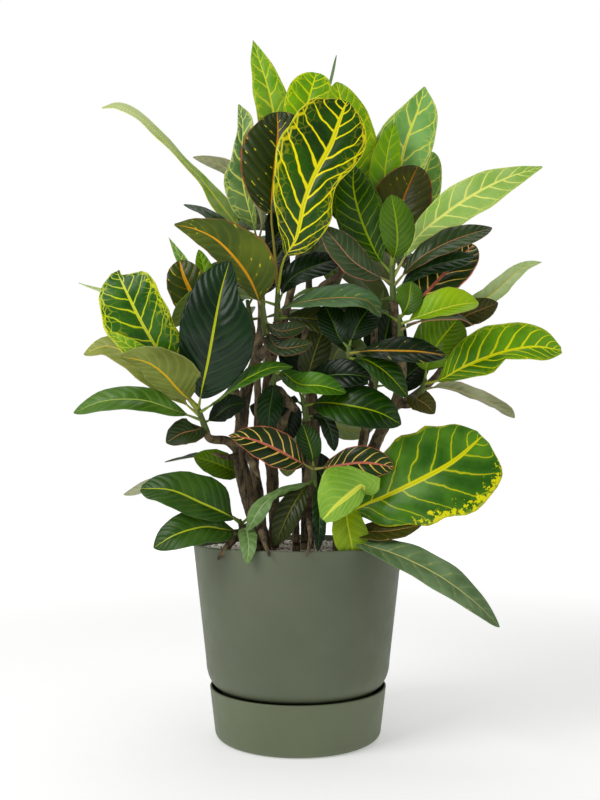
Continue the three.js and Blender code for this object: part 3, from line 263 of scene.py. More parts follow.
LOOKS = {
    "gold_veined": look("#143206", "#2a520c", "#ecdf0c", "#dcdc1e", rib=0.072, veins=1.0, net=0.2,
        width=1.2, margin=0.9, count=12, gloss=0.26, crinkle=1.2),
    "gold_spotted": look("#2c5c12", "#5a8a2a", "#dcd81c", "#d8d41e", rib=0.055, veins=0.6, spots=0.62,
        width=0.7, margin=0.6, count=9, crinkle=2.4),
    "yellow_net": look("#1e4a0c", "#3c6c1c", "#d2dc24", "#d4dc30", veins=0.85, net=0.5, spots=0.3,
        width=0.9, margin=1.0, count=13, dashes=0.4, crinkle=1.8),
    "bright_veined": look("#437404", "#689a08", "#e6e61a", "#d0dc20", rib=0.065, veins=0.85, net=0.1,
        spots=0.1, width=1.1, margin=0.6, count=13, crinkle=1.0),
    "lime_veined": look("#5c8e22", "#86ae3c", "#d8dc50", "#c8d850", rib=0.06, veins=0.75, net=0.45,
        spots=0.05, width=0.9, margin=0.7, count=12, gloss=0.33, crinkle=0.9),
    "lime_net": look("#4f8804", "#7cac06", "#dee004", "#d8e020", veins=0.85, net=0.5, width=0.9,
        margin=0.5, count=12, gloss=0.32),
    "lime_tall": look("#427208", "#80a804", "#dcdc08", "#c8d808", veins=0.6, net=0.2, spots=0.05,
        width=0.8, margin=0.4, gloss=0.33),
    "lime": look("#5a8c0a", "#7ca406", "#b8cd2e", "#b0c828", veins=0.45, net=0.1, width=0.7, margin=0.3,
        count=12, gloss=0.34),
    "lime_bold": look("#76a008", "#94b426", "#c8d050", "#c08a58", veins=0.35, width=0.7, margin=0.4,
        count=12, gloss=0.34),
    "lime_folded": look("#6c9a34", "#8ab24a", "#dee365", "#b8cc50", rib=0.11, veins=0.25, net=0.1,
        width=0.7, margin=0.3, count=10, gloss=0.34),
    "lime_olive": look("#6c8a0c", "#8aa42c", "#c0cc48", "#a8b838", veins=0.25, margin=0.3, count=10,
        gloss=0.34),
    "lime_deep": look("#42600a", "#62880a", "#a0b41a", "#88a020", rib=0.04, veins=0.35, net=0.05,
        width=0.7, gloss=0.32),
    "mint": look("#5e9042", "#8cb86c", "#e2e66c", "#dce488", rib=0.06, veins=0.85, net=0.3, width=0.8,
        margin=0.8, count=10, gloss=0.36),
    "mint_lime": look("#86ac50", "#a8c678", "#eef088", "#e8ec80", rib=0.07, veins=0.85, net=0.15,
        width=0.9, margin=0.6, gloss=0.36),
    "mint_pale": look("#96b468", "#bccc98", "#d4cc60", "#d8d880", veins=0.35, width=0.7, margin=0.5,
        count=12, gloss=0.38, tip=0.4, both=True),
    "pale_tipped": look("#6a9400", "#b2c088", "#c8cc48", "#dcdc4c", rib=0.09, veins=0.45, net=0.3,
        width=0.0, margin=1.0, count=12, gloss=0.4, tip=1.0, both=True),
    "grey_net": look("#3e6434", "#7c9a58", "#d8dc6c", "#c8d480", veins=0.8, net=0.5, width=0.9,
        margin=0.8, count=11, gloss=0.34),
    "teal_gloss": look("#081e0e", "#173217", "#b4bc34", "#2c5020", rib=0.035, veins=0.05, margin=0.1,
        count=17, gloss=0.24),
    "dark": look("#0d220a", "#1c3811", "#56743a", "#2c4a1c", rib=0.03, veins=0.15, margin=0.1, count=13,
        gloss=0.28),
    "deep": look("#061402", "#0e2408", "#4a6a1c", "#1c3610", rib=0.03, veins=0.18, margin=0.1, count=13,
        gloss=0.28),
    "dark_yellow": look("#102c06", "#22440a", "#94a82c", "#345414", rib=0.04, margin=0.1, count=13,
        gloss=0.28),
    "green_yellow": look("#1e3e08", "#385e10", "#a0b61c", "#6a8a1c", rib=0.045, veins=0.6, net=0.1,
        width=0.7, margin=0.3, count=12),
    "fresh_green": look("#2c4c06", "#4a6c08", "#88a026", "#6c8a20", veins=0.35, width=0.7, gloss=0.32),
    "mid_green": look("#2c5610", "#4c781e", "#a8c03a", "#6c9a2c", veins=0.15, count=13),
    "low_green": look("#1e3e0c", "#3c5c1e", "#b8c444", "#5c8438", rib=0.045, veins=0.1, margin=0.15,
        count=13, tip=0.3),
    "pale_end": look("#34580e", "#5c8036", "#a8bc60", "#7c9850", rib=0.045, tip=0.7),
    # In the next four looks the grey is partly the leaves' own grey-green and partly painted sheen: the grey
    # reflection on glossy leaves is painted into their colours.
    "grey_sheen": look("#4a643c", "#7a9268", "#d0cc80", "#98a070", rib=0.035, veins=0.12, spots=0.08,
        tip=0.2, dashes=0.2),
    "grey_sheen_drop": look("#56703e", "#7a985e", "#a0b880", "#8aa468", count=10, gloss=0.34),
    "grey_sheen_orange": look("#30502a", "#547448", "#b88a3c", "#6a7a4c", rib=0.03, veins=0.12, spots=0.12,
        dashes=0.35),
    "grey_sheen_pink": look("#2c401e", "#465838", "#b8826a", "#c07a5c", rib=0.03, margin=0.7),
    "dark_pink": look("#18280a", "#304420", "#a0704a", "#a8604a", rib=0.035, veins=0.15, margin=0.5,
        gloss=0.28),
    "dark_orange": look("#0a1c08", "#142610", "#c8963c", "#2c3c1c", rib=0.07, veins=0.08, width=0.7,
        margin=0.1, count=10, gloss=0.26, dashes=0.5),
    "pink_net": look("#142408", "#283c16", "#e6c468", "#cc7054", rib=0.075, veins=0.95, width=1.1,
        margin=1.0, count=10, gloss=0.28),
    "brown_round": look("#282c06", "#3e420a", "#a86a24", "#b0482c", rib=0.03, veins=0.12, width=0.5,
        margin=0.7, count=13, dashes=0.4),
    "olive_round": look("#1f2e04", "#304004", "#cc8c1c", "#a8482c", rib=0.03, veins=0.08, width=0.5,
        margin=0.7, count=13, dashes=0.8),
    "olive_bold": look("#223404", "#3c4c06", "#e0a40c", "#a86a2c", rib=0.1, width=0.8, margin=0.5,
        count=9, dashes=0.8),
    "olive_orange": look("#384a00", "#566400", "#dc9c12", "#a4582c", veins=0.06, margin=0.5, count=13,
        gloss=0.32, dashes=0.8, both=True),
    "olive_dark": look("#20290a", "#36401a", "#7c7e28", "#4a4a1c", rib=0.035, veins=0.3),
    "brown_small": look("#34360a", "#4a4a1c", "#a0824a", "#8a6a3c", rib=0.04, veins=0.25, spots=0.1,
        margin=0.4, count=12, gloss=0.34),
    "pale_under": look("#626c2c", "#84904c", "#dcb43c", "#b8b070", rib=0.045, veins=0.12, margin=0.4,
        count=13, gloss=0.4, both=True),
    "pale_olive": look("#7c8840", "#98a056", "#d8c858", "#c8a860", rib=0.045, spots=0.3, margin=0.5,
        gloss=0.38, dashes=0.5),
    "pale_grey": look("#7c8258", "#a4a884", "#c8b080", "#c89078", rib=0.04, veins=0.12, margin=0.3,
        gloss=0.38, both=True),
    "pale_end_grey": look("#989c74", "#b4b89a", "#c8cca0", "#b8bc90", rib=0.04, veins=0.1, gloss=0.4),
}
RULE_LOOKS = ("dark", "dark_yellow", "fresh_green", "green_yellow", "dark_pink", "lime_deep", "deep")

# Dry bits in the plant: their routes, and their radii at the start, middle and end
DRY_BITS = {
    "stub_over_rim": {"route": [[-60, 250, 52], [-78, 232, 88], [-96, 208, 94]], "girth": (2.4, 4.8, 1.6)},
    "bark_end_left": {"route": [[-50, 262, 62], [-42, 236, 108], [-34, 212, 127]], "girth": (4.0, 4.0, 1.2)},
    "bark_end_right": {"route": [[12, 262, 72], [15, 238, 114], [11, 211, 129]], "girth": (2.4, 2.8, 1.0)},
    "rolled_leaf": {"route": [[-32, 352, 8], [-22, 366, 46], [-8, 390, 62]], "girth": (1.6, 6.0, 1.5)},
    "dry_knob": {"route": [[-36, 404, 14], [-24, 408, 52], [-2, 388, 66]], "girth": (1.6, 8.0, 4.0)},
    "dry_stalk": {"route": [[-68, 335, 22], [-84, 331, 32], [-104, 336, 42]], "girth": (2.2, 3.4, 0.8)},
    "dry_flake": {"route": [[-62, 336, 24], [-54, 322, 42], [-46, 306, 48]], "girth": (2.0, 4.6, 1.0)},
}
DRY = {"rings": 12, "sides": 12, "lumps": 1.6, "lump": 0.4, "ring_step": 0.35, "seed_step": 9}

# Leafy shoots, with the height on the shoot that each leaf grows from, its midrib out to the tip,
# and the way that its upper face looks (right, up, to the viewer)
SHOOTS = [
    dict(name="leaves_crown_front", foot=(-25, 493, 58), top=(-24, 535, 62), fill=2, leaves=[
        dict(look="gold_veined", at=0.75, rib=[(-18, 565, 74), (-2, 594, 82), (8, 637, 90), (23, 673, 94),
             (40, 705, 94), (50, 733, 90), (59, 757, 84)], outline=[(0, 2, 2), (0.07, 14, 15),
             (0.22, 27, 32), (0.38, 39, 31), (0.5, 49, 25), (0.62, 53, 34), (0.77, 50, 35), (0.89, 43, 26),
             (0.96, 34, 13), (1, 12, 3)], stalk=0.2, fold=5, rows=9, face=(-0.1, -0.05, 1)),
        dict(look="deep", at=0.5, rib=[(-10, 543, 68), (17, 559, 66), (53, 570, 54)], wide=36,
             face=(0.1, 0.5, 0.85)),
        dict(look="grey_sheen_orange", at=0.3, rib=[(2, 516, 80), (50, 522, 96), (84, 518, 98), (100, 499, 92)],
             wide=48, stalk=0.06, face=(0, 0.75, 0.65)),
        dict(look="olive_dark", at=0.1, rib=[(2, 498, 70), (32, 493, 76), (62, 477, 74)], wide=34),
        dict(look="olive_round", at=0.9, rib=[(-28, 579, 60), (-32, 625, 62), (-28, 675, 62), (-24, 717, 58),
             (-25, 745, 52)], wide=80, stalk=0.42, rows=4, form="broad", face=(-0.15, 0.1, 1)),
    ]),
    dict(name="leaves_crown_left", foot=(-38, 476, 72), top=(-43, 519, 78), fill=2, leaves=[
        dict(look="olive_orange", at=0.8, rib=[(-62, 551, 84), (-93, 588, 87), (-121, 604, 85),
             (-148, 610, 78)], outline=[(0, 2, 2), (0.1, 26, 12), (0.28, 38, 18), (0.5, 31, 20),
             (0.7, 18, 18), (0.88, 8, 10), (1, 1, 1)], stalk=0.06, rows=5, face=(0.3, 0.45, -0.8)),
        dict(look="dark_pink", at=0.25, rib=[(-25, 463, 92), (-2, 463, 98), (18, 468, 98)], wide=24,
             face=(0, 0.5, 0.85)),
        dict(look="dark_pink", at=0.45, rib=[(-22, 482, 86), (10, 488, 86)], wide=20),
    ]),
    dict(name="leaves_crown_right", foot=(115, 517, 62), top=(112, 562, 68), fill=2, leaves=[
        dict(look="grey_sheen_pink", at=0.5, rib=[(86, 553, 76), (65, 567, 84), (47, 588, 86), (30, 608, 80)],
             wide=38, face=(0.2, 0.2, 0.95)),
        dict(look="green_yellow", at=0.75, rib=[(95, 573, 58), (77, 613, 58), (67, 651, 54), (67, 680, 46)],
             wide=56, rows=5, face=(-0.1, 0.1, 1)),
        dict(look="fresh_green", at=0.95, rib=[(119, 585, 86), (118, 613, 92), (112, 646, 94)], wide=40,
             face=(0.1, 0.1, 1)),
        dict(look="brown_round", at=0.85, rib=[(120, 591, 52), (122, 625, 54), (132, 654, 54),
             (144, 680, 50)], wide=68, rows=5, form="broad", face=(0, 0.1, 1)),
        dict(look="lime", at=0.9, rib=[(112, 603, 40), (104, 657, 38), (108, 699, 34), (116, 732, 28)],
             wide=38, face=(-0.1, 0.1, 1)),
        dict(look="mint", at=0.8, rib=[(116, 615, 20), (120, 663, 16), (130, 709, 14), (143, 745, 12),
             (152, 775, 6)], outline=[(0, 2, 2), (0.2, 16, 14), (0.45, 36, 26), (0.6, 38, 31),
             (0.75, 28, 31), (0.9, 13, 19), (1, 1, 1)], rows=5, face=(0, 0.15, 1)),
        dict(look="mint", at=0.7, rib=[(128, 613, -4), (146, 654, -8), (162, 697, -12)], wide=58,
             form="broad"),
        dict(look="mint_lime", at=0.6, rib=[(142, 593, 62), (177, 623, 66), (211, 646, 68), (251, 666, 64),
             (293, 679, 54)], outline=[(0, 2, 2), (0.12, 9, 10), (0.3, 18, 20), (0.5, 20, 23),
             (0.68, 16, 20), (0.85, 9, 11), (1, 1, 1)], wave=2.5, rows=7, face=(-0.3, 0.35, 0.9)),
        dict(look="dark_pink", at=0.4, rib=[(140, 564, 84), (167, 582, 92), (197, 595, 92), (233, 606, 84)],
             wide=36, face=(-0.1, 0.6, 0.8)),
        dict(look="dark", at=0.25, rib=[(146, 554, 78), (179, 565, 80), (212, 572, 74)], wide=28,
             face=(0, 0.5, 0.85)),
    ]),
    dict(name="leaves_side_right", foot=(124, 464, 72), top=(122, 502, 78), fill=2, leaves=[
        dict(look="pink_net", at=0.9, rib=[(138, 512, 76), (162, 536, 74), (186, 561, 68), (211, 586, 58)],
             wide=54, rows=5, form="broad", face=(-0.3, 0.3, 0.9)),
        dict(look="lime_bold", at=0.7, rib=[(149, 500, 92), (173, 508, 100), (197, 514, 102),
             (217, 516, 98)], wide=46, fold=32, face=(0, 0.6, 0.8)),
        dict(look="grey_sheen_pink", at=0.5, rib=[(144, 493, 102), (170, 499, 112), (192, 500, 112),
             (211, 489, 106)], wide=34, fold=4, face=(0, 1, 0.45)),
        dict(look="fresh_green", at=0.9, rib=[(132, 514, 88), (136, 542, 86)], wide=30, rows=4),
    ]),
    dict(name="leaves_centre_right", foot=(62, 433, 84), top=(61, 465, 90), fill=1, leaves=[
        dict(look="dark_orange", at=0.7, rib=[(86, 458, 108), (113, 458, 116), (146, 457, 118),
             (178, 453, 110)], wide=40, face=(0, 0.65, 0.75)),
        dict(look="dark_yellow", at=0.5, rib=[(80, 448, 112), (101, 436, 122), (118, 420, 124),
             (132, 403, 118)], wide=36, face=(0.2, 0.6, 0.75)),
        dict(look="deep", at=0.9, rib=[(50, 474, 92), (42, 493, 88), (32, 514, 82)], wide=34,
             face=(0, 0.1, 1)),
        dict(look="deep", at=0.9, rib=[(66, 477, 92), (77, 498, 88), (91, 516, 80)], wide=40,
             face=(0, 0.1, 1)),
    ]),
    dict(name="leaves_right", foot=(146, 404, 30), top=(153, 425, 36), fill=1, leaves=[
        dict(look="lime_deep", at=0.9, rib=[(156, 444, 40), (168, 467, 42), (192, 497, 38)], wide=60, rows=5,
             form="broad", face=(-0.2, 0.2, 0.95)),
        dict(look="bright_veined", at=0.7, rib=[(172, 424, 50), (194, 436, 60), (220, 447, 70),
             (250, 457, 74), (284, 463, 72), (316, 459, 62)], outline=[(0, 2, 2), (0.12, 16, 10),
             (0.3, 32, 18), (0.45, 35, 17), (0.52, 35, 9), (0.62, 34, 13), (0.8, 27, 18), (0.92, 17, 12),
             (1, 4, 4)], stalk=0.12, fold=8, rows=9, face=(-0.1, 0.35, 0.95)),
        dict(look="pale_grey", at=0.4, rib=[(178, 415, 48), (212, 404, 62), (242, 391, 70), (260, 378, 68)],
             wide=38, face=(0.1, 0.93, -0.3)),
        dict(look="brown_small", at=0.15, rib=[(143, 401, 56), (154, 394, 66), (164, 383, 68)], wide=26,
             face=(-0.3, 0.3, 0.9)),
    ]),
    dict(name="leaves_left", foot=(-110, 362, 58), top=(-121, 394, 62), fill=2, leaves=[
        dict(look="mid_green", at=0.7, rib=[(-91, 402, 84), (-74, 416, 96), (-55, 428, 104), (-31, 438, 106),
             (-6, 439, 104)], wide=36, rows=6, face=(0, 0.8, 0.5)),
        dict(look="teal_gloss", at=0.85, rib=[(-114, 417, 88), (-108, 445, 98), (-101, 483, 108),
             (-92, 529, 108), (-82, 566, 98)], outline=[(0, 2, 2), (0.08, 16, 16), (0.2, 27, 33),
             (0.38, 35, 46), (0.5, 37, 45), (0.62, 36, 38), (0.76, 31, 21), (0.9, 21, 11), (0.97, 10, 5),
             (1, 2, 2)], stalk=0.1, fold=4, rows=9, face=(-0.1, 0.05, 1)),
        dict(look="yellow_net", at=0.9, rib=[(-148, 423, 74), (-168, 459, 86), (-188, 494, 92),
             (-204, 526, 92), (-217, 554, 84)], outline=[(0, 2, 2), (0.1, 12, 15), (0.25, 22, 27),
             (0.4, 31, 31), (0.57, 39, 32), (0.7, 38, 34), (0.82, 33, 31), (0.9, 27, 24), (0.94, 22, 6),
             (1, 7, 3)], stalk=0.13, fold=8, wave=2.5, rows=9, face=(-0.1, 0.1, 1)),
        dict(look="lime_veined", at=0.8, rib=[(-150, 425, 92), (-172, 446, 103), (-200, 463, 106),
             (-228, 481, 104)], wide=20, rows=3, face=(0, 0.4, 0.9), spare=True),
        dict(look="pale_under", at=0.95, rib=[(-143, 411, 88), (-160, 430, 105), (-181, 445, 114),
             (-213, 452, 114)], outline=[(0, 2, 2), (0.12, 24, 12), (0.35, 32, 20), (0.6, 25, 20),
             (0.85, 12, 10), (1, 2, 2)], rows=5, face=(0.1, 0.85, -0.45)),
        dict(look="pale_olive", at=0.5, rib=[(-163, 420, 48), (-194, 448, 44), (-228, 464, 38),
             (-257, 454, 30)], wide=40, face=(0.1, 0.5, 0.85)),
        dict(look="mint_pale", at=0.6, rib=[(-178, 459, 30), (-216, 519, 20), (-263, 540, 6)], wide=12,
             form="lance"),
        dict(look="deep", at=0.3, rib=[(-98, 380, 52), (-82, 392, 56), (-62, 396, 54)], wide=30, rows=3,
             spare=True),
        dict(look="pale_end", at=0.4, rib=[(-151, 388, 86), (-187, 399, 96), (-232, 398, 96),
             (-269, 384, 88)], wide=38, rows=6, face=(0, 0.6, 0.75)),
        dict(look="dark_pink", at=0.2, rib=[(-124, 363, 82), (-140, 359, 87), (-158, 348, 88)], wide=33),
    ]),
    dict(name="leaves_low_left", foot=(-65, 234, 60), top=(-70, 256, 66), fill=1, leaves=[
        dict(look="low_green", at=0.8, rib=[(-84, 261, 86), (-115, 275, 98), (-152, 291, 102),
             (-188, 293, 96)], outline=[(0, 2, 2), (0.1, 10, 22), (0.3, 20, 33), (0.55, 24, 30),
             (0.8, 18, 20), (0.93, 12, 12), (1, 4, 4)], rows=6, face=(0, 0.6, 0.8)),
        dict(look="pale_end_grey", at=0.9, rib=[(-112, 279, 66), (-160, 298, 60), (-209, 286, 50)], wide=34,
             face=(0, 0.8, 0.6)),
        dict(look="low_green", at=0.4, rib=[(-89, 244, 92), (-112, 247, 104), (-146, 238, 112),
             (-173, 222, 110)], wide=46, rows=5, face=(0, 0.55, 0.85)),
        dict(look="grey_sheen_drop", at=0.5, rib=[(-62, 243, 92), (-59, 225, 116), (-61, 202, 124)], wide=20,
             face=(0, 0.5, 0.9)),
    ]),
    dict(name="leaves_centre", foot=(11, 374, 52), top=(5, 406, 58), fill=2, leaves=[
        dict(look="dark_yellow", at=0.6, rib=[(32, 396, 84), (65, 392, 102), (98, 384, 108),
             (124, 370, 104)], wide=52, rows=5, face=(0, 0.45, 0.9)),
        dict(look="deep", at=0.95, rib=[(29, 426, 80), (60, 430, 97), (88, 426, 102)], wide=36,
             face=(0, 0.3, 0.95)),
        dict(look="olive_dark", at=0.9, rib=[(10, 421, 62), (19, 453, 66), (32, 489, 64)], wide=36,
             face=(0.3, 0.1, 0.9)),
        dict(look="deep", at=0.2, rib=[(30, 378, 66), (40, 358, 68), (44, 338, 66)], wide=18,
             face=(0, 0.2, 0.95)),
        dict(look="deep", at=0.6, rib=[(-6, 398, 50), (-12, 376, 46), (-14, 348, 44)], wide=32, rows=3,
             face=(0.2, 0.2, 0.9), spare=True),
    ]),
    dict(name="leaves_centre_low", foot=(19, 298, 60), top=(19, 321, 66), fill=0, leaves=[
        dict(look="pink_net", at=0.8, rib=[(0, 326, 84), (-28, 341, 98), (-55, 352, 104), (-83, 357, 102)],
             wide=42, form="lance", face=(0, 0.3, 0.95)),
        dict(look="pink_net", at=0.8, rib=[(44, 320, 82), (74, 324, 96), (98, 322, 100), (116, 318, 98)],
             wide=38, face=(0, 0.3, 0.95)),
        dict(look="dark_yellow", at=0.9, rib=[(16, 339, 72), (6, 370, 72)], wide=28, rows=4,
             face=(0, 0.1, 1)),
        dict(look="grey_sheen_drop", at=0.2, rib=[(2, 296, 80), (-22, 289, 92), (-43, 272, 100), (-61, 242, 102)],
             outline=[(0, 2, 2), (0.2, 4, 4), (0.5, 5, 5), (0.65, 10, 9), (0.8, 10, 9), (0.92, 5, 5),
             (1, 1, 1)], rows=4, face=(0.3, 0.7, 0.6)),
        dict(look="olive_dark", at=0.3, rib=[(6, 291, 78), (-10, 265, 88), (-28, 224, 90)], wide=30,
             face=(0, 0.4, 0.9)),
        dict(look="dark", at=0.3, rib=[(25, 279, 84), (26, 246, 94), (24, 218, 98)], wide=16,
             face=(0, 0.3, 0.95)),
    ]),
    dict(name="leaves_low_right", foot=(47, 234, 52), top=(52, 262, 60), fill=1, leaves=[
        dict(look="gold_spotted", at=0.8, rib=[(77, 272, 74), (106, 284, 86), (152, 306, 96), (188, 327, 98),
             (221, 356, 92)], outline=[(0, 2, 2), (0.08, 20, 16), (0.25, 38, 36), (0.4, 48, 46),
             (0.53, 52, 52), (0.65, 51, 57), (0.76, 47, 57), (0.86, 39, 50), (0.94, 28, 37), (1, 8, 11)],
             stalk=0.1, fold=6, wave=2.5, rows=9, face=(-0.1, 0.25, 0.95)),
        dict(look="brown_small", at=0.3, rib=[(77, 241, 84), (110, 242, 98), (148, 249, 104)], wide=38,
             face=(0, 0.8, 0.55)),
        dict(look="deep", at=0.7, rib=[(46, 276, 34), (36, 296, 2), (22, 318, -24), (6, 338, -40)], wide=46,
             rows=3, spare=True),
        dict(look="grey_sheen", at=0.2, rib=[(77, 227, 98), (120, 213, 120), (170, 188, 134),
             (212, 157, 136), (242, 127, 128)], wide=42, rows=7, face=(0.2, 0.7, 0.7)),
        dict(look="lime_folded", at=0.95, rib=[(72, 276, 88), (78, 296, 106), (62, 284, 116), (44, 270, 118),
             (30, 256, 116)], outline=[(0, 4, 10), (0.2, 9, 24), (0.45, 14, 38), (0.7, 14, 30),
             (0.88, 11, 15), (1, 5, 4)], stalk=0.42, fold=2, rows=5, face=(0, 0, 1)),
        dict(look="lime_olive", at=0.6, rib=[(56, 266, 88), (60, 248, 100), (64, 228, 106), (66, 214, 106)],
             wide=42, form="spoon", face=(0, 0.3, 0.95)),
    ]),
    dict(name="leaves_top", foot=(6, 606, -24), top=(7, 639, -26), fill=2, leaves=[
        dict(look="lime_veined", at=0.7, rib=[(-8, 678, -14), (-25, 726, -4), (-36, 774, 0), (-46, 805, -2),
             (-54, 831, -8)], wide=42, rows=6, form="lance", face=(0, 0.1, 1)),
        dict(look="lime_veined", at=0.5, rib=[(-8, 687, -34), (-23, 741, -34), (-32, 787, -38)], wide=24,
             form="lance"),
        dict(look="lime_net", at=0.9, rib=[(6, 699, -6), (11, 750, 4), (22, 792, 0)], wide=56, rows=5,
             form="spoon", face=(-0.1, 0.1, 1)),
        dict(look="grey_sheen_drop", at=0.8, rib=[(24, 711, -36), (36, 774, -36), (46, 813, -38)], wide=30,
             face=(1, 0.1, 0.15)),
    ]),
    dict(name="leaves_upper_left", foot=(-47, 555, -24), top=(-49, 591, -26), fill=1, leaves=[
        dict(look="pale_tipped", at=0.7, rib=[(-84, 622, -8), (-114, 661, 0), (-140, 689, 6),
             (-164, 714, 10), (-189, 738, 10), (-215, 752, 6), (-235, 750, 0)], outline=[(0, 2, 2),
             (0.08, 13, 12), (0.17, 15, 13), (0.28, 8, 8), (0.5, 7, 7), (0.75, 7, 8), (0.9, 7, 7),
             (1, 1, 1)], wave=1, rows=6, face=(0.3, 0.5, 0.8)),
        dict(look="grey_net", at=0.9, rib=[(-54, 613, 4), (-65, 657, 14), (-67, 699, 18), (-66, 729, 16),
             (-71, 754, 12)], outline=[(0, 2, 2), (0.2, 20, 9), (0.42, 23, 9), (0.58, 13, 9), (0.72, 8, 13),
             (0.86, 6, 13), (1, 1, 1)], rows=5, face=(-0.4, 0.1, 0.9)),
        dict(look="pale_grey", at=0.8, rib=[(-43, 621, -22), (-60, 654, -26), (-86, 678, -28),
             (-126, 691, -30)], wide=22, face=(0.4, 0.6, -0.6)),
        dict(look="dark", at=0.5, rib=[(-70, 591, 6), (-91, 608, 16), (-112, 624, 18), (-137, 634, 14)],
             wide=28, face=(0.2, 0.7, 0.6)),
        dict(look="deep", at=0.6, rib=[(-30, 592, -20), (-16, 612, -22), (-4, 644, -26)], wide=46, rows=3,
             spare=True),
    ]),
    dict(name="leaves_side_left", foot=(-101, 459, -24), top=(-106, 489, -26), fill=1, leaves=[
        dict(look="olive_bold", at=0.9, rib=[(-113, 498, -4), (-126, 524, 8), (-137, 548, 10),
             (-142, 567, 6)], wide=50, rows=5, form="broad", face=(-0.1, 0.1, 1)),
        dict(look="lime", at=0.8, rib=[(-109, 531, -20), (-114, 561, -20), (-119, 580, -22)], wide=24),
        dict(look="mint", at=0.6, rib=[(-122, 525, -36), (-139, 565, -40), (-155, 594, -42)], wide=18,
             form="lance"),
        dict(look="deep", at=0.9, rib=[(-93, 510, -22), (-76, 540, -26), (-64, 574, -30)], wide=48, rows=3,
             spare=True),
    ]),
    dict(name="leaves_low_back_left", foot=(-66, 301, -14), top=(-71, 325, -18), fill=0, leaves=[
        dict(look="dark", at=0.8, rib=[(-112, 332, -4), (-160, 325, -2)], wide=30, face=(0, 1, 0.2)),
        dict(look="lime_deep", at=0.5, rib=[(-79, 315, 2), (-100, 324, 8), (-125, 332, 8)], wide=34,
             face=(0, 0.3, 0.95)),
    ]),
    dict(name="leaves_upper_middle", foot=(53, 560, 4), top=(65, 596, 6), fill=3, leaves=[
        dict(look="lime_tall", at=0.9, rib=[(66, 645, 16), (65, 699, 22), (55, 745, 20), (46, 781, 12)],
             wide=60, rows=6, face=(0, 0.1, 1)),
        dict(look="dark_yellow", at=0.9, rib=[(57, 620, -2), (46, 650, -6), (38, 690, -12)], wide=44, rows=3,
             spare=True),
    ]),
    dict(name="leaves_back_right", foot=(178, 459, -34), top=(182, 490, -36), fill=1, leaves=[
        dict(look="mint_pale", at=0.8, rib=[(206, 510, -30), (232, 526, -26), (252, 544, -26),
             (271, 559, -26), (292, 565, -30)], wide=24, form="long", face=(0.3, 0.5, -0.8)),
        dict(look="brown_small", at=0.6, rib=[(198, 498, -16), (218, 507, -12), (240, 516, -12)], wide=32,
             face=(0, 0.2, 0.95)),
    ]),
    dict(name="leaves_middle_left", foot=(-31, 417, 48), top=(-25, 435, 54), fill=0, leaves=[
        dict(look="mid_green", at=0.8, rib=[(-17, 432, 68), (2, 418, 84), (29, 416, 92), (58, 408, 90)],
             wide=30, fold=28, face=(0, 0.6, 0.8)),
        dict(look="dark", at=0.4, rib=[(-31, 405, 66), (-34, 385, 72), (-36, 361, 74)], wide=30,
             face=(0, 0.2, 0.95)),
    ]),
    dict(name="leaves_rear_left", foot=(-79, 403, -80), top=(-87, 435, -90), fill=3, leaves=[]),
    dict(name="leaves_rear_right", foot=(88, 394, -80), top=(96, 430, -92), fill=2, leaves=[
        dict(look="deep", at=0.9, rib=[(100, 455, -84), (106, 480, -80), (112, 508, -76)], wide=56, rows=3,
             spare=True),
        dict(look="deep", at=0.6, rib=[(120, 420, -84), (140, 436, -82), (158, 448, -80)], wide=44, rows=3,
             spare=True),
        dict(look="deep", at=0.5, rib=[(70, 430, -80), (54, 448, -78), (40, 472, -78)], wide=50, rows=3,
             spare=True),
    ]),
    dict(name="leaves_rear_top", foot=(14, 553, -75), top=(17, 584, -82), fill=4, leaves=[]),
    dict(name="leaves_rear_upper_left", foot=(-56, 488, -70), top=(-61, 519, -80), fill=2, leaves=[
        dict(look="deep", at=0.8, rib=[(-44, 540, -74), (-30, 562, -72), (-16, 586, -70)], wide=50, rows=3,
             spare=True),
        dict(look="deep", at=0.5, rib=[(-84, 510, -64), (-96, 532, -60), (-104, 560, -56)], wide=44, rows=3,
             spare=True),
    ]),
    dict(name="leaves_rear_upper_right", foot=(94, 499, -65), top=(101, 532, -75), fill=3, leaves=[]),
    dict(name="leaves_rear_low", foot=(9, 374, -100), top=(11, 405, -112), fill=2, leaves=[
        dict(look="mint_pale", at=0.5, rib=[(36, 374, -92), (62, 362, -86), (91, 366, -84)], wide=30),
        dict(look="deep", at=0.8, rib=[(4, 436, -100), (0, 462, -96), (-4, 492, -92)], wide=56, rows=3,
             spare=True),
        dict(look="deep", at=0.4, rib=[(-16, 380, -88), (-38, 384, -80), (-58, 392, -76)], wide=40, rows=3,
             spare=True),
    ]),
]

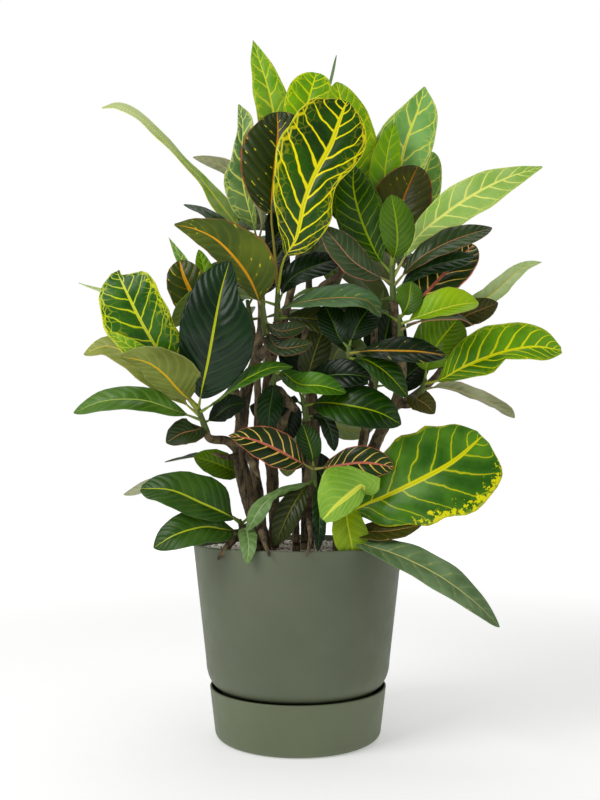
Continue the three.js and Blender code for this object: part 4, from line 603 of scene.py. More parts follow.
# Woody stems: where each stands, its route, and the shoot that it ends under
STEMS = [
    dict(name="stem_left", foot=(-42, -24), girth=(12, 5), to="leaves_crown_left",
         route=[(-49, 250, 24), (-58, 279, 22), (-65, 305, 20), (-70, 335, 20), (-67, 375, 22),
                (-62, 411, 26), (-50, 447, 40)],
         branches=[
             dict(girth=(6, 4.2), to="leaves_left", route=[(-70, 337, 20), (-84, 350, 26), (-101, 352, 40)]),
             dict(girth=(5, 4.2), to="leaves_side_left", route=[(-66, 390, 22), (-79, 417, 4),
                  (-94, 438, -14)]),
             dict(girth=(5.5, 4.2), to="leaves_upper_left", route=[(-56, 430, 32), (-45, 480, 10),
                  (-44, 520, -12)]),
             dict(girth=(4.6, 4.2), to="leaves_low_back_left", route=[(-58, 279, 22), (-62, 288, 2)]),
         ]),
    dict(name="stem_middle", foot=(-31, 4), girth=(9, 5), to="leaves_crown_front",
         route=[(-27, 250, -4), (-30, 285, -1), (-31, 315, 2), (-36, 351, 4), (-38, 399, 10), (-34, 441, 24),
                (-29, 471, 42)],
         branches=[
             dict(girth=(5.5, 4.2), to="leaves_top", route=[(-35, 438, 22), (-20, 482, 2), (-6, 540, -14),
                  (3, 580, -21)]),
             dict(girth=(5, 4.2), to="leaves_middle_left", route=[(-38, 392, 9), (-36, 400, 28)]),
         ]),
    dict(name="stem_pale", foot=(-2, -46), girth=(4.6, 4.2), to="leaves_centre_low",
         route=[(-3, 255, 46), (-1, 272, 48), (12, 284, 55)],
         branches=[]),
    dict(name="stem_dark", foot=(11, -12), girth=(8.5, 4.6), to="leaves_upper_middle",
         route=[(11, 261, 12), (12, 291, 12), (17, 327, 12), (20, 363, 14), (17, 405, 14), (8, 447, 12),
                (13, 495, 8), (26, 531, 4)],
         branches=[
             dict(girth=(5, 4.2), to="leaves_centre", route=[(19, 345, 13), (17, 357, 32)]),
             dict(girth=(5, 4.2), to="leaves_centre_right", route=[(16, 410, 14), (33, 418, 40),
                  (52, 421, 66)]),
         ]),
    dict(name="stem_right", foot=(56, -8), girth=(10, 4.8), to="leaves_crown_right",
         route=[(62, 255, 8), (74, 297, 8), (86, 330, 10), (96, 354, 12), (108, 378, 16), (120, 405, 22),
                (122, 441, 32), (119, 480, 48)],
         branches=[
             dict(girth=(5.4, 4.2), to="leaves_right", route=[(116, 397, 20), (130, 394, 24)]),
             dict(girth=(5, 4.2), to="leaves_side_right", route=[(121, 415, 24), (126, 432, 50)]),
             dict(girth=(5, 4.2), to="leaves_back_right", route=[(112, 388, 18), (140, 405, -6),
                  (168, 430, -26)]),
         ]),
    dict(name="stem_low_right", foot=(44, -52), girth=(4.8, 4.2), to="leaves_low_right",
         route=[],
         branches=[]),
    dict(name="stem_low_left", foot=(-60, -60), girth=(4.8, 4.2), to="leaves_low_left",
         route=[],
         branches=[]),
    dict(name="stem_rear_left", foot=(-45, 45), girth=(8, 4.6), to="leaves_rear_left",
         route=[(-48, 290, -50), (-60, 350, -62)],
         branches=[
             dict(girth=(5.5, 4.2), to="leaves_rear_upper_left", route=[(-52, 318, -56), (-48, 400, -62)]),
         ]),
    dict(name="stem_rear", foot=(12, 58), girth=(8.5, 4.6), to="leaves_rear_low",
         route=[(10, 290, -66), (9, 335, -88)],
         branches=[
             dict(girth=(5.8, 4.2), to="leaves_rear_top", route=[(10, 302, -70), (14, 400, -64),
                  (14, 490, -68)]),
         ]),
    dict(name="stem_rear_right", foot=(62, 46), girth=(8, 4.6), to="leaves_rear_right",
         route=[(66, 290, -54), (78, 345, -66)],
         branches=[
             dict(girth=(5.5, 4.2), to="leaves_rear_upper_right", route=[(70, 312, -58), (88, 410, -56)]),
         ]),
]



# Numbers and colours
def linear(value):
    """The linear colour of a hex colour."""
    parts = [int(value[i:i + 2], 16) / 255 for i in (1, 3, 5)]
    return tuple(p / 12.92 if p <= 0.04045 else ((p + 0.055) / 1.055) ** 2.4 for p in parts)


def draw(key):
    """A repeatable number between 0 and 1."""
    value = math.sin(key * DRAW_STEP) * DRAW_SCALE
    return value - math.floor(value)


def place(spot):
    """The point, in millimetres, that is seen at this place of the front view."""
    across, up, forward = spot
    share = (EYE_DISTANCE - forward) / EYE_DISTANCE
    return np.array([across * share, -forward, EYE_HEIGHT + (up - EYE_HEIGHT) * share], dtype=float)


def unit(vector):
    return vector / np.linalg.norm(vector)


class Route:
    """A smooth curve through points, read by a share of its length."""

    def __init__(self, points):
        points = [np.asarray(point, dtype=float) for point in points]
        ends = [2 * points[0] - points[1], *points, 2 * points[-1] - points[-2]]
        self.spans = list(zip(ends, ends[1:], ends[2:], ends[3:]))
        self.times = np.linspace(0, 1, ROUTE_STEPS + 1)
        spots = np.array([self.at(time) for time in self.times])
        steps = np.linalg.norm(np.diff(spots, axis=0), axis=1)
        self.lengths = np.concatenate([[0], np.cumsum(steps)])
        self.length = self.lengths[-1]

    def at(self, time):
        reach = min(max(time, 0), 1) * len(self.spans)
        index = min(int(reach), len(self.spans) - 1)
        before, first, second, after = self.spans[index]
        t = reach - index
        out, into = (second - before) / 2, (after - first) / 2
        return (first + out * t + (3 * (second - first) - 2 * out - into) * t ** 2
                + (2 * (first - second) + out + into) * t ** 3)

    def point(self, share):
        return self.at(np.interp(share * self.length, self.lengths, self.times))

    def ahead(self, share):
        time = np.interp(share * self.length, self.lengths, self.times)
        return unit(self.at(min(time + A_LITTLE, 1)) - self.at(max(time - A_LITTLE, 0)))


# Meshes
def finish(name, bm, nodes, material, smooth=True):
    """Makes the bmesh an object that stands for the nodes and rides on the body."""
    for face in bm.faces:
        face.smooth = smooth
    mesh = bpy.data.meshes.new(name)
    bm.to_mesh(mesh)
    bm.free()
    piece = bpy.data.objects.new(name, mesh)
    bpy.context.scene.collection.objects.link(piece)
    mesh.materials.append(material)
    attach(piece, "root")
    if nodes:
        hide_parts(*nodes)
    return piece


def add_mesh(bm, part):
    """Moves a smaller bmesh into a larger one, which is much faster than building in the larger one."""
    mesh = bpy.data.meshes.new("part")
    part.to_mesh(mesh)
    part.free()
    bm.from_mesh(mesh)
    bpy.data.meshes.remove(mesh)


def map_faces(verts, uv, spot):
    """Gives each corner of the faces at these vertices its place in the UV map."""
    faces = {face for vert in verts for face in vert.link_faces}
    for face in faces:
        for loop in face.loops:
            loop[uv].uv = spot(loop.vert)
    return faces


def turned(bm, profile, steps):
    """Turns a profile of radius and height about the upright axis."""
    verts = [bm.verts.new((radius * MM, 0, height * MM)) for radius, height in profile]
    edges = [bm.edges.new(pair) for pair in zip(verts, verts[1:])]
    bmesh.ops.spin(bm, geom=verts + edges, axis=(0, 0, 1), cent=(0, 0, 0), angle=2 * math.pi,
                   steps=steps, use_merge=True)
    bmesh.ops.remove_doubles(bm, verts=bm.verts, dist=TURNED_MERGE)
    bmesh.ops.recalc_face_normals(bm, faces=bm.faces)


def arc(centre, radii, start, end, steps):
    angles = [math.radians(start + (end - start) * i / steps) for i in range(steps + 1)]
    return [(centre[0] + radii[0] * math.cos(a), centre[1] + radii[1] * math.sin(a)) for a in angles]


def tube(bm, centres, sides_of, radii, sides, wobble=None):
    """A closed tube through centres in millimetres. sides_of gives each ring's two cross directions."""
    rings = len(centres)
    made = bmesh.ops.create_grid(bm, x_segments=rings - 1, y_segments=sides, size=1)["verts"]
    table = {}
    for vert in made:
        ring = round((vert.co.x + 1) / 2 * (rings - 1))
        turn = round((vert.co.y + 1) / 2 * sides) % sides
        table.setdefault((ring, turn), []).append(vert)
    for (ring, turn), verts in table.items():
        angle = 2 * math.pi * turn / sides
        first, second = sides_of[ring]
        radius = radii[ring] * (wobble(ring, turn) if wobble else 1)
        spot = centres[ring] + radius * (math.cos(angle) * first + math.sin(angle) * second)
        for vert in verts:
            vert.co = Vector(spot * MM)
    bmesh.ops.remove_doubles(bm, verts=made, dist=TUBE_MERGE)
    kept = [vert for vert in made if vert.is_valid]
    rims = [edge for edge in {e for v in kept for e in v.link_edges} if edge.is_boundary]
    caps = bmesh.ops.holes_fill(bm, edges=rims, sides=0)["faces"]
    faces = list({face for vert in kept for face in vert.link_faces} | set(caps))
    bmesh.ops.recalc_face_normals(bm, faces=faces)
    return kept


def ring_sides(route, shares):
    """Cross directions that turn as little as they can along a route."""
    sides = []
    first = None
    for share in shares:
        ahead = route.ahead(share)
        if first is None:
            first = np.cross(ahead, CROSS_HINT)
        first = unit(first - ahead * np.dot(first, ahead))
        sides.append((first, np.cross(ahead, first)))
    return sides


# Materials
class Nodes:
    """A material's node tree, built one step at a time."""

    def __init__(self, name):
        self.material = bpy.data.materials.new(name)
        self.material.use_nodes = True
        self.tree = self.material.node_tree
        self.tree.nodes.clear()
        self.shader = self.tree.nodes.new("ShaderNodeBsdfPrincipled")
        output = self.tree.nodes.new("ShaderNodeOutputMaterial")
        self.tree.links.new(self.shader.outputs["BSDF"], output.inputs["Surface"])

    def add(self, kind, settings=None, **inputs):
        node = self.tree.nodes.new(kind)
        for key, value in (settings or {}).items():
            setattr(node, key, value)
        for key, value in inputs.items():
            self.put(node.inputs[key.replace("_", " ")], value)
        return node

    def put(self, socket, value):
        if isinstance(value, bpy.types.NodeSocket):
            self.tree.links.new(value, socket)
        else:
            socket.default_value = value

    def surface(self, label, value):
        self.put(self.shader.inputs[label], value)

    def math(self, operation, first, second=0.0, third=0.0, clamp=False):
        node = self.tree.nodes.new("ShaderNodeMath")
        node.operation = operation
        node.use_clamp = clamp
        for socket, value in zip(node.inputs, (first, second, third)):
            self.put(socket, value)
        return node.outputs[0]

    def times(self, first, *others):
        for other in others:
            first = self.math("MULTIPLY", first, other)
        return first

    def plus(self, first, second):
        return self.math("ADD", first, second)

    def minus(self, first, second):
        return self.math("SUBTRACT", first, second)

    def scaled(self, value, factor, start):
        """The start and the value times the factor."""
        return self.math("MULTIPLY_ADD", value, factor, start)

    def between(self, value, low, high, start=0.0, end=1.0):
        """Goes smoothly from start to end as the value goes from low to high."""
        node = self.tree.nodes.new("ShaderNodeMapRange")
        node.interpolation_type = "SMOOTHSTEP"
        for socket, item in zip(node.inputs, (value, low, high, start, end)):
            self.put(socket, item)
        return node.outputs["Result"]

    def mix(self, factor, first, second):
        node = self.tree.nodes.new("ShaderNodeMix")
        node.data_type = "RGBA"
        self.put(node.inputs[0], factor)
        for socket, value in ((node.inputs[6], first), (node.inputs[7], second)):
            self.put(socket, (*value, 1) if isinstance(value, tuple) and len(value) == 3 else value)
        return node.outputs[2]

    def channels(self, colour):
        parts = self.add("ShaderNodeSeparateColor", Color=colour).outputs
        return parts["Red"], parts["Green"], parts["Blue"]

    def noise(self, label, spot):
        """The noise of a named pattern."""
        grain = GRAINS[label]
        node = self.add("ShaderNodeTexNoise", Vector=spot, Scale=grain["scale"],
                        Detail=grain.get("detail", 2.0), Roughness=grain.get("roughness", 0.5))
        return node.outputs["Fac"]

    def grain(self, label, spot, start=0.0, end=1.0):
        """A named pattern that goes from start to end between its two levels."""
        return self.between(self.noise(label, spot), *GRAINS[label]["levels"], start, end)

    def spot(self):
        return self.tree.nodes.new("ShaderNodeTexCoord").outputs["Object"]

    def relief(self, height, distance, strength=1.0):
        bump = self.add("ShaderNodeBump", Height=height, Distance=distance, Strength=strength)
        self.surface("Normal", bump.outputs["Normal"])


def moulded_plastic(name, colour):
    """Matte moulded plastic: even colour with a fine grain and faint cloudiness."""
    nodes = Nodes(name)
    spot = nodes.spot()
    base = linear(colour)
    pale = tuple(min(part * PLASTIC["pale"], 1) for part in base)
    nodes.surface("Base Color", nodes.mix(nodes.grain("plastic_cloud", spot), base, pale))
    nodes.surface("Roughness", nodes.grain("plastic_sheen", spot, *PLASTIC["roughness"]))
    nodes.relief(nodes.noise("plastic_grain", spot), PLASTIC["depth"], PLASTIC["strength"])
    return nodes.material


def damp_soil(name):
    """Dark crumbs with paler ones among them."""
    nodes = Nodes(name)
    spot = nodes.spot()
    crumbs = nodes.grain("soil_crumbs", spot)
    nodes.surface("Base Color", nodes.mix(crumbs, linear(SOIL["dark"]), linear(SOIL["pale"])))
    nodes.surface("Roughness", SOIL["roughness"])
    nodes.relief(nodes.noise("soil_crumbs", spot), SOIL["depth"])
    return nodes.material


def small_stones(name):
    """Stones take their colour from the piece, with a fine speckle."""
    nodes = Nodes(name)
    spot = nodes.spot()
    own = nodes.add("ShaderNodeAttribute", {"attribute_name": "stone"}).outputs["Color"]
    speckle = nodes.grain("stone_speckle", spot, 0.0, STONE_SURFACE["speckle"])
    nodes.surface("Base Color", nodes.mix(speckle, own, linear(STONE_SURFACE["speckle_colour"])))
    nodes.surface("Roughness", STONE_SURFACE["roughness"])
    nodes.relief(nodes.noise("stone_speckle", spot), STONE_SURFACE["depth"])
    return nodes.material


def rough_bark(name):
    """Grey-brown bark with darker cracks along the stem and pale corky scars across it."""
    nodes = Nodes(name)
    uv = nodes.add("ShaderNodeUVMap").outputs["UV"]
    spot = nodes.spot()
    stretched = nodes.add("ShaderNodeMapping", Vector=spot, Scale=BARK["stretch"]).outputs["Vector"]
    rings = nodes.add("ShaderNodeSeparateXYZ", Vector=uv).outputs["X"]
    rings = nodes.plus(rings, nodes.times(nodes.noise("bark_unevenness", spot), BARK["unevenness"]))
    scar = nodes.math("ABSOLUTE", nodes.minus(nodes.math("FRACT", rings), 0.5))
    scar = nodes.between(scar, *BARK["scar_levels"])
    wood = nodes.mix(nodes.grain("bark_cracks", stretched), linear(BARK["dark"]), linear(BARK["wood"]))
    wood = nodes.mix(nodes.grain("bark_patches", spot, 0.0, BARK["patches"]), wood, linear(BARK["pale"]))
    wood = nodes.mix(nodes.times(scar, BARK["scar"]), wood, linear(BARK["scar_colour"]))
    nodes.surface("Base Color", wood)
    nodes.surface("Roughness", BARK["roughness"])
    cracks = nodes.times(nodes.noise("bark_cracks", stretched), BARK["crack_height"])
    nodes.relief(nodes.plus(cracks, nodes.times(scar, BARK["scar_height"])), BARK["depth"])
    return nodes.material


def read_leaf(nodes):
    """What the leaf material reads from the piece: which leaf it is, and where on the leaf."""
    colour, alpha = {}, {}
    for label in LEAF_LAYERS:
        outputs = nodes.add("ShaderNodeAttribute", {"attribute_name": label}).outputs
        colour[label], alpha[label] = outputs["Color"], outputs["Alpha"]
    rib_width, vein_amount, net_amount = nodes.channels(colour["marks"])
    spot_amount, vein_width, tip_amount = nodes.channels(colour["more"])
    uv = nodes.add("ShaderNodeUVMap").outputs["UV"]
    axes = nodes.add("ShaderNodeSeparateXYZ", Vector=uv).outputs
    side = nodes.scaled(axes["Y"], 2.0, -1.0)
    spot = nodes.spot()
    return SimpleNamespace(
        blade=colour["blade"], light=colour["light"], vein=colour["vein"], edge=colour["edge"],
        gloss=alpha["blade"], count=alpha["light"], slope=alpha["vein"], seed=alpha["edge"],
        margin=alpha["marks"], dash_amount=alpha["more"], rib_width=rib_width, vein_amount=vein_amount,
        net_amount=net_amount, spot_amount=spot_amount, vein_width=vein_width, tip_amount=tip_amount,
        netted=nodes.math("MULTIPLY", net_amount, NET["full"], clamp=True),
        along=axes["X"], side=side, out=nodes.math("ABSOLUTE", side), spot=spot,
        shake=nodes.minus(nodes.noise("leaf_shake", spot), 0.5), patch=nodes.noise("leaf_patch", spot),
    )


def side_veins(nodes, leaf):
    """Side veins that leave the midrib on each side in turn, bend towards the tip and thin out. Near is 1
    on a vein and 0 halfway to the next one."""
    bend = nodes.scaled(nodes.times(leaf.out, leaf.out), VEIN["bend"], leaf.out)
    turn = nodes.minus(leaf.along, nodes.times(leaf.slope, bend))
    turn = nodes.times(turn, leaf.count, MOST_VEINS)
    turn = nodes.plus(turn, nodes.times(nodes.math("GREATER_THAN", leaf.side, 0.0), VEIN["other_side"]))
    turn = nodes.plus(turn, nodes.times(leaf.shake, VEIN["shake"]))
    turn = nodes.plus(turn, nodes.times(leaf.seed, VEIN["seed"]))
    near = nodes.times(nodes.math("ABSOLUTE", nodes.minus(nodes.math("FRACT", turn), 0.5)), 2.0)
    lot = nodes.add("ShaderNodeCombineXYZ", X=nodes.math("FLOOR", turn), Y=leaf.seed).outputs[0]
    chance = nodes.add("ShaderNodeTexWhiteNoise", {"noise_dimensions": "2D"}, Vector=lot).outputs["Value"]
    thin = nodes.times(nodes.scaled(leaf.out, *VEIN["width"]), leaf.vein_width,
                       nodes.scaled(chance, *VEIN["width_by_chance"]),
                       nodes.scaled(leaf.patch, *VEIN["width_by_patch"]))
    veins = nodes.between(near, nodes.minus(1.0, thin), nodes.scaled(thin, -0.5, 1.0))
    start, end = nodes.scaled(chance, *VEIN["fade_start"]), nodes.scaled(leaf.netted, *VEIN["fade_end"])
    return near, nodes.times(veins, nodes.between(leaf.out, start, end, 1.0, 0.0))


def vein_loops(nodes, leaf, near):
    """Near the margin of a netted leaf each vein curves round to meet the next one."""
    bow = nodes.scaled(near, *LOOP["bow"])
    bow = nodes.math("ABSOLUTE", nodes.minus(nodes.scaled(leaf.shake, LOOP["shake"], leaf.out), bow))
    thin, wide = (nodes.times(leaf.vein_width, width) for width in LOOP["widths"])
    loop = nodes.between(bow, thin, wide, 1.0, 0.0)
    return nodes.times(loop, nodes.between(leaf.along, *LOOP["fade_in"]), leaf.netted, LOOP["strength"])


def midrib(nodes, leaf):
    """The midrib, which tapers towards the tip, and the darker groove along its middle."""
    taper = nodes.times(leaf.rib_width, nodes.scaled(leaf.along, *RIB["taper"]))
    inner, outer = (nodes.times(taper, share) for share in RIB["sides"])
    rib = nodes.between(leaf.out, inner, outer, 1.0, 0.0)
    groove = nodes.between(leaf.out, 0.0, nodes.times(taper, RIB["groove_width"]), RIB["groove"], 0.0)
    return rib, nodes.times(groove, rib)


def fine_net(nodes, leaf):
    """A fine net between the veins, clearest towards the margin."""
    sway = nodes.add("ShaderNodeTexNoise", Vector=leaf.spot, Scale=NET["sway_scale"]).outputs["Color"]
    bent = nodes.add("ShaderNodeVectorMath", {"operation": "MULTIPLY_ADD"})
    for socket, value in zip(bent.inputs, (sway, (NET["sway"],) * 3, leaf.spot)):
        nodes.put(socket, value)
    cells = nodes.add("ShaderNodeTexVoronoi", {"feature": "DISTANCE_TO_EDGE"}, Vector=bent.outputs[0],
                      Scale=NET["scale"]).outputs["Distance"]
    wide = nodes.scaled(leaf.patch, NET["widening"], NET["line"])
    line = nodes.between(cells, NET["line"], wide, 1.0, 0.0)
    return line, nodes.times(line, nodes.between(leaf.out, *NET["fade_in"]), leaf.net_amount)


def margin_spots(nodes, leaf):
    """Spots of the vein colour that gather along one margin."""
    rim = nodes.times(nodes.between(leaf.side, *SPOTS["side"]), nodes.between(leaf.along, *SPOTS["fade_in"]),
                      nodes.between(leaf.along, *SPOTS["fade_out"]))
    spread = nodes.scaled(rim, SPOTS["gather"], nodes.noise("leaf_blotch", leaf.spot))
    limit = nodes.scaled(leaf.spot_amount, *SPOTS["limit"])
    spots = nodes.between(spread, limit, nodes.plus(limit, SPOTS["softness"]))
    return nodes.times(spots, nodes.math("MINIMUM", nodes.times(leaf.spot_amount, SPOTS["full"]), 1.0))


def veined_leaf(name):
    """A croton leaf. The piece's layers say which leaf it is, and its UV map runs base to tip (U) and side
    to side (V). A leaf with a strong margin has its midrib in the margin's colour."""
    nodes = Nodes(name)
    leaf = read_leaf(nodes)
    near, veins = side_veins(nodes, leaf)
    veins = nodes.math("MAXIMUM", veins, vein_loops(nodes, leaf, near))
    rib, groove = midrib(nodes, leaf)
    line, net = fine_net(nodes, leaf)
    dashes = nodes.times(nodes.between(near, *DASH["near"]), nodes.grain("leaf_dash", leaf.spot))
    ragged = nodes.scaled(nodes.noise("leaf_margin", leaf.spot), MARGIN["ragged"], leaf.out)
    margin = nodes.times(nodes.between(ragged, *MARGIN["levels"]), leaf.margin)
    tipped = nodes.between(nodes.scaled(leaf.shake, TIP["shake"], leaf.along), *TIP["levels"])
    lighter = nodes.times(leaf.tip_amount, tipped)
    lighter = nodes.math("MAXIMUM", nodes.grain("leaf_tone", leaf.spot), lighter)
    halo = nodes.times(nodes.between(near, *HALO["near"]), nodes.scaled(leaf.out, *HALO["out"]))
    rib_colour = nodes.mix(nodes.between(leaf.margin, *MARGIN["strong"]), leaf.vein, leaf.edge)

    colour = nodes.mix(lighter, leaf.blade, leaf.light)
    for amount, tint in (
        (halo, leaf.light),
        (nodes.grain("leaf_speck", leaf.spot, 0.0, SPECK), leaf.light),
        (net, leaf.vein),
        (nodes.times(veins, leaf.vein_amount), leaf.vein),
        (margin_spots(nodes, leaf), leaf.vein),
        (nodes.times(dashes, leaf.dash_amount), linear(DASH["colour"])),
        (margin, leaf.edge),
        (rib, rib_colour),
        (groove, leaf.blade),
    ):
        colour = nodes.mix(amount, colour, tint)
    nodes.surface("Base Color", colour)
    gloss = nodes.minus(leaf.gloss, LEAF_SURFACE["gloss_start"])
    gloss = nodes.scaled(nodes.noise("leaf_gloss", leaf.spot), LEAF_SURFACE["gloss"], gloss)
    nodes.surface("Roughness", gloss)
    nodes.surface("Specular IOR Level", LEAF_SURFACE["specular"])

    quilt = nodes.times(nodes.between(near, *QUILT["near"]), nodes.between(leaf.out, *QUILT["out"]),
                        nodes.between(leaf.vein_width, *QUILT["vein_width"]))
    height = nodes.plus(quilt, nodes.times(nodes.noise("leaf_pores", leaf.spot), QUILT["pores"]))
    height = nodes.plus(height, nodes.times(line, QUILT["net"]))
    nodes.relief(height, QUILT["depth"], QUILT["strength"])
    return nodes.material


# Leaves
def rule_leaf(shoot, index, k):
    """The leaf that the rule makes, or None where it points to the viewer or reaches an open side."""
    rule = RULE_LEAF
    key = index * rule["key_step"] + k
    heading = math.radians(index * rule["shoot_turn"] + k * rule["turn"])
    away = np.array([math.cos(heading), math.sin(heading), 0])
    if away[1] < (rule["backward"] if len(shoot["leaves"]) > 1 else rule["forward"]):
        return None
    rise = (k * rule["rise_step"]) % 1
    tilt = rule["low"] + (rule["high"] - rule["low"]) * rise + rule["sway"] * (draw(key) - 0.5)
    length = rule["longest"] + (rule["shortest"] - rule["longest"]) * rise
    length *= rule["least"] + rule["spread"] * draw(key + RULE_KEYS["length"])
    foot, top = place(shoot["foot"]), place(shoot["top"])
    base = foot + (top - foot) * (rule["first"] + rule["reach"] * rise)
    points = [base]
    for i, share in enumerate(rule["shares"]):
        angle = math.radians(tilt - rule["droop"] * i)
        spot = away * math.cos(angle)
        spot[2] = math.sin(angle)
        points.append(base + spot * length * share)
    tip = points[-1]
    if abs(tip[0]) > OPEN_SIDE["beyond"] and tip[2] < OPEN_SIDE["below"]:
        return None
    lean = -rule["lean"]
    return {
        **PLAIN_LEAF, "points": points, "wide": length * rule["slimness"], "rows": rule["rows"],
        "form": rule["forms"][int(draw(key + RULE_KEYS["form"]) * len(rule["forms"]))],
        "upper": np.array([lean * away[0], lean * away[1], 1.0]), "push": np.array([0, 0, 1.0]),
        "look": RULE_LOOKS[int(draw(key + RULE_KEYS["look"]) * len(RULE_LOOKS))],
        "seed": draw(key + RULE_KEYS["seed"]),
    }


def chosen_leaf(shoot, entry, key):
    """A leaf of the table, from its foot on the shoot to its tip."""
    leaf = {**PLAIN_LEAF, **entry}
    foot, top = place(shoot["foot"]), place(shoot["top"])
    right, up, near = leaf["face"]
    points = [foot + (top - foot) * leaf["at"], *(place(spot) for spot in leaf["rib"])]
    eye = np.array([0, -EYE_DISTANCE, EYE_HEIGHT], dtype=float)
    return {**leaf, "points": points, "upper": np.array([right, -near, up], dtype=float),
            "push": unit(eye - points[-1]), "seed": draw(key)}


def leaned(leaf, push):
    """The leaf's points, leaned by a push that grows towards its tip."""
    last = len(leaf["points"]) - 1
    return [point + leaf["push"] * push * i / last for i, point in enumerate(leaf["points"])]


def blade_sides(leaf, route, share, roll):
    """The directions ahead, towards the upper face and to the right at a share of the leaf."""
    ahead = route.ahead(share)
    blade = max((share - leaf["stalk"]) / (1 - leaf["stalk"]), 0)
    upper = unit(leaf["upper"] - ahead * np.dot(leaf["upper"], ahead))
    angle = math.radians(roll + leaf["turn"] * blade)
    upper = upper * math.cos(angle) + np.cross(ahead, upper) * math.sin(angle)
    return ahead, upper, np.cross(ahead, upper)


def find_lean(leaf, solid):
    """The push and roll with which the leaf's last rows stand in the solid, or None where it isn't there."""
    rows = range(leaf["rows"] - 2, leaf["rows"] + 1)
    shares = [0.5 - 0.5 * math.cos(math.pi * row / leaf["rows"]) for row in rows]
    for push in PUSHES:
        points = leaned(leaf, push)
        if solid.find(Vector(points[-1] * MM))[2] > NEAR_TIP * MM:
            continue
        route = Route(points)
        for roll in ROLLS:
            hits = 0
            for blade in shares:
                share = leaf["stalk"] + (1 - leaf["stalk"]) * blade
                upper = blade_sides(leaf, route, share, roll)[1]
                half = (STALK_THICKNESS + (RIB_THICKNESS - STALK_THICKNESS) * blade) / 2
                for spot in (route.point(share) + upper * half, route.point(share) - upper * half):
                    hits += solid.find(Vector(spot * MM))[2] < SAME_SPOT * MM
            if hits >= ENOUGH_HITS:
                return push, roll
    return None


def half_width(leaf, blade, hand):
    """Half the blade's width, smoothed between the outline's places."""
    if leaf["outline"]:
        shares = [row[0] for row in leaf["outline"]]
        halves = [row[1 if hand < 0 else 2] for row in leaf["outline"]]
        slopes = np.gradient(halves, shares)
        slopes[0] = min(slopes[0] * BASE_SWELL, 3 * halves[1] / shares[1])
        i = min(max(np.searchsorted(shares, blade) - 1, 0), len(shares) - 2)
        step = shares[i + 1] - shares[i]
        t = (blade - shares[i]) / step
        value = ((2 * t ** 3 - 3 * t ** 2 + 1) * halves[i] + (t ** 3 - 2 * t ** 2 + t) * step * slopes[i]
                 + (3 * t ** 2 - 2 * t ** 3) * halves[i + 1] + (t ** 3 - t ** 2) * step * slopes[i + 1])
        return max(value, LEAST_HALF_WIDTH)
    rise, fall = FORMS[leaf["form"]]
    peak = rise / (rise + fall)
    tallest = peak ** rise * (1 - peak) ** fall
    half = leaf["wide"] / 2 * (blade ** rise * (1 - blade) ** fall) / tallest
    return max(half, STALK_HALF_WIDTH if blade < peak else LEAST_HALF_WIDTH)


def deepened(colour):
    """A colour made richer, since the gloss of a leaf pales it."""
    grey = sum(colour) / 3
    return tuple(max(grey + DEEPEN * (part - grey), 0) for part in colour)


def blend(first, second, shares):
    """The sum of two colours, each times its share."""
    return tuple(shares[0] * a + shares[1] * b for a, b in zip(first, second))


def leaf_colours(leaf, under):
    """What the leaf's material reads at each point of one face, by layer."""
    chosen = LOOKS[leaf["look"]]
    slope = 0.5 * leaf["reach"] / (leaf["length"] * (1 - leaf["stalk"]))
    base, light, vein = (deepened(linear(chosen[part])) for part in ("blade", "light", "vein"))
    rib, veins, net, spots, dashes = (chosen[part] for part in ("rib", "veins", "net", "spots", "dashes"))
    gloss = chosen["gloss"]
    if under:
        gloss += UNDERSIDE["dullness"]
    if under and not chosen["both"]:
        dull = linear(UNDERSIDE["colour"])
        base = blend(base, dull, UNDERSIDE["blade"])
        light = blend(light, dull, UNDERSIDE["light"])
        vein = blend(vein, light, UNDERSIDE["vein"])
        rib, veins, net = rib * UNDERSIDE["rib"], veins * UNDERSIDE["veins"], net * UNDERSIDE["net"]
        spots = dashes = 0.0
    fade = LEAF_FADE["least"] + LEAF_FADE["spread"] * leaf["seed"]
    base = tuple(part * fade for part in base)
    return {
        "blade": (*base, gloss), "light": (*light, chosen["count"] / MOST_VEINS), "vein": (*vein, slope),
        "edge": (*linear(chosen["edge"]), leaf["seed"]), "marks": (rib, veins, net, chosen["margin"]),
        "more": (spots, chosen["width"], chosen["tip"], dashes),
    }


def blade_sheet(bm, rows, columns, uv):
    """A flat sheet extruded to two faces: each face's corners with their row and column."""
    made = bmesh.ops.create_grid(bm, x_segments=rows, y_segments=len(columns) - 1, size=1)["verts"]
    where = {}
    for vert in made:
        i = round((vert.co.x + 1) / 2 * rows)
        j = round((vert.co.y + 1) / 2 * (len(columns) - 1))
        where[vert] = (i, j)

    def share(vert):
        i, j = where[vert]
        return i / rows, 0.5 + columns[j] / 2

    faces = list(map_faces(made, uv, share))

    def flat_spot(vert):
        return round(vert.co.x, SAME_DIGITS), round(vert.co.y, SAME_DIGITS)

    lookup = {flat_spot(vert): spot for vert, spot in where.items()}
    extruded = bmesh.ops.extrude_face_region(bm, geom=faces, use_keep_orig=True)["geom"]
    lows = [item for item in extruded if isinstance(item, bmesh.types.BMVert)]
    return where, {vert: lookup[flat_spot(vert)] for vert in lows}


def blade_ring(leaf, route, roll, row, rows):
    """Where a row of the blade stands: its share, centre, upper and right directions and half widths."""
    start = BLADE["start"]
    blade = 0.5 - 0.5 * math.cos(math.pi * (start + (1 - start) * row / rows)) if row else 0.0
    share = leaf["stalk"] + (1 - leaf["stalk"]) * blade
    _, upper, side = blade_sides(leaf, route, share, roll)
    return blade, route.point(share), upper, side, half_width(leaf, blade, -1), half_width(leaf, blade, 1)


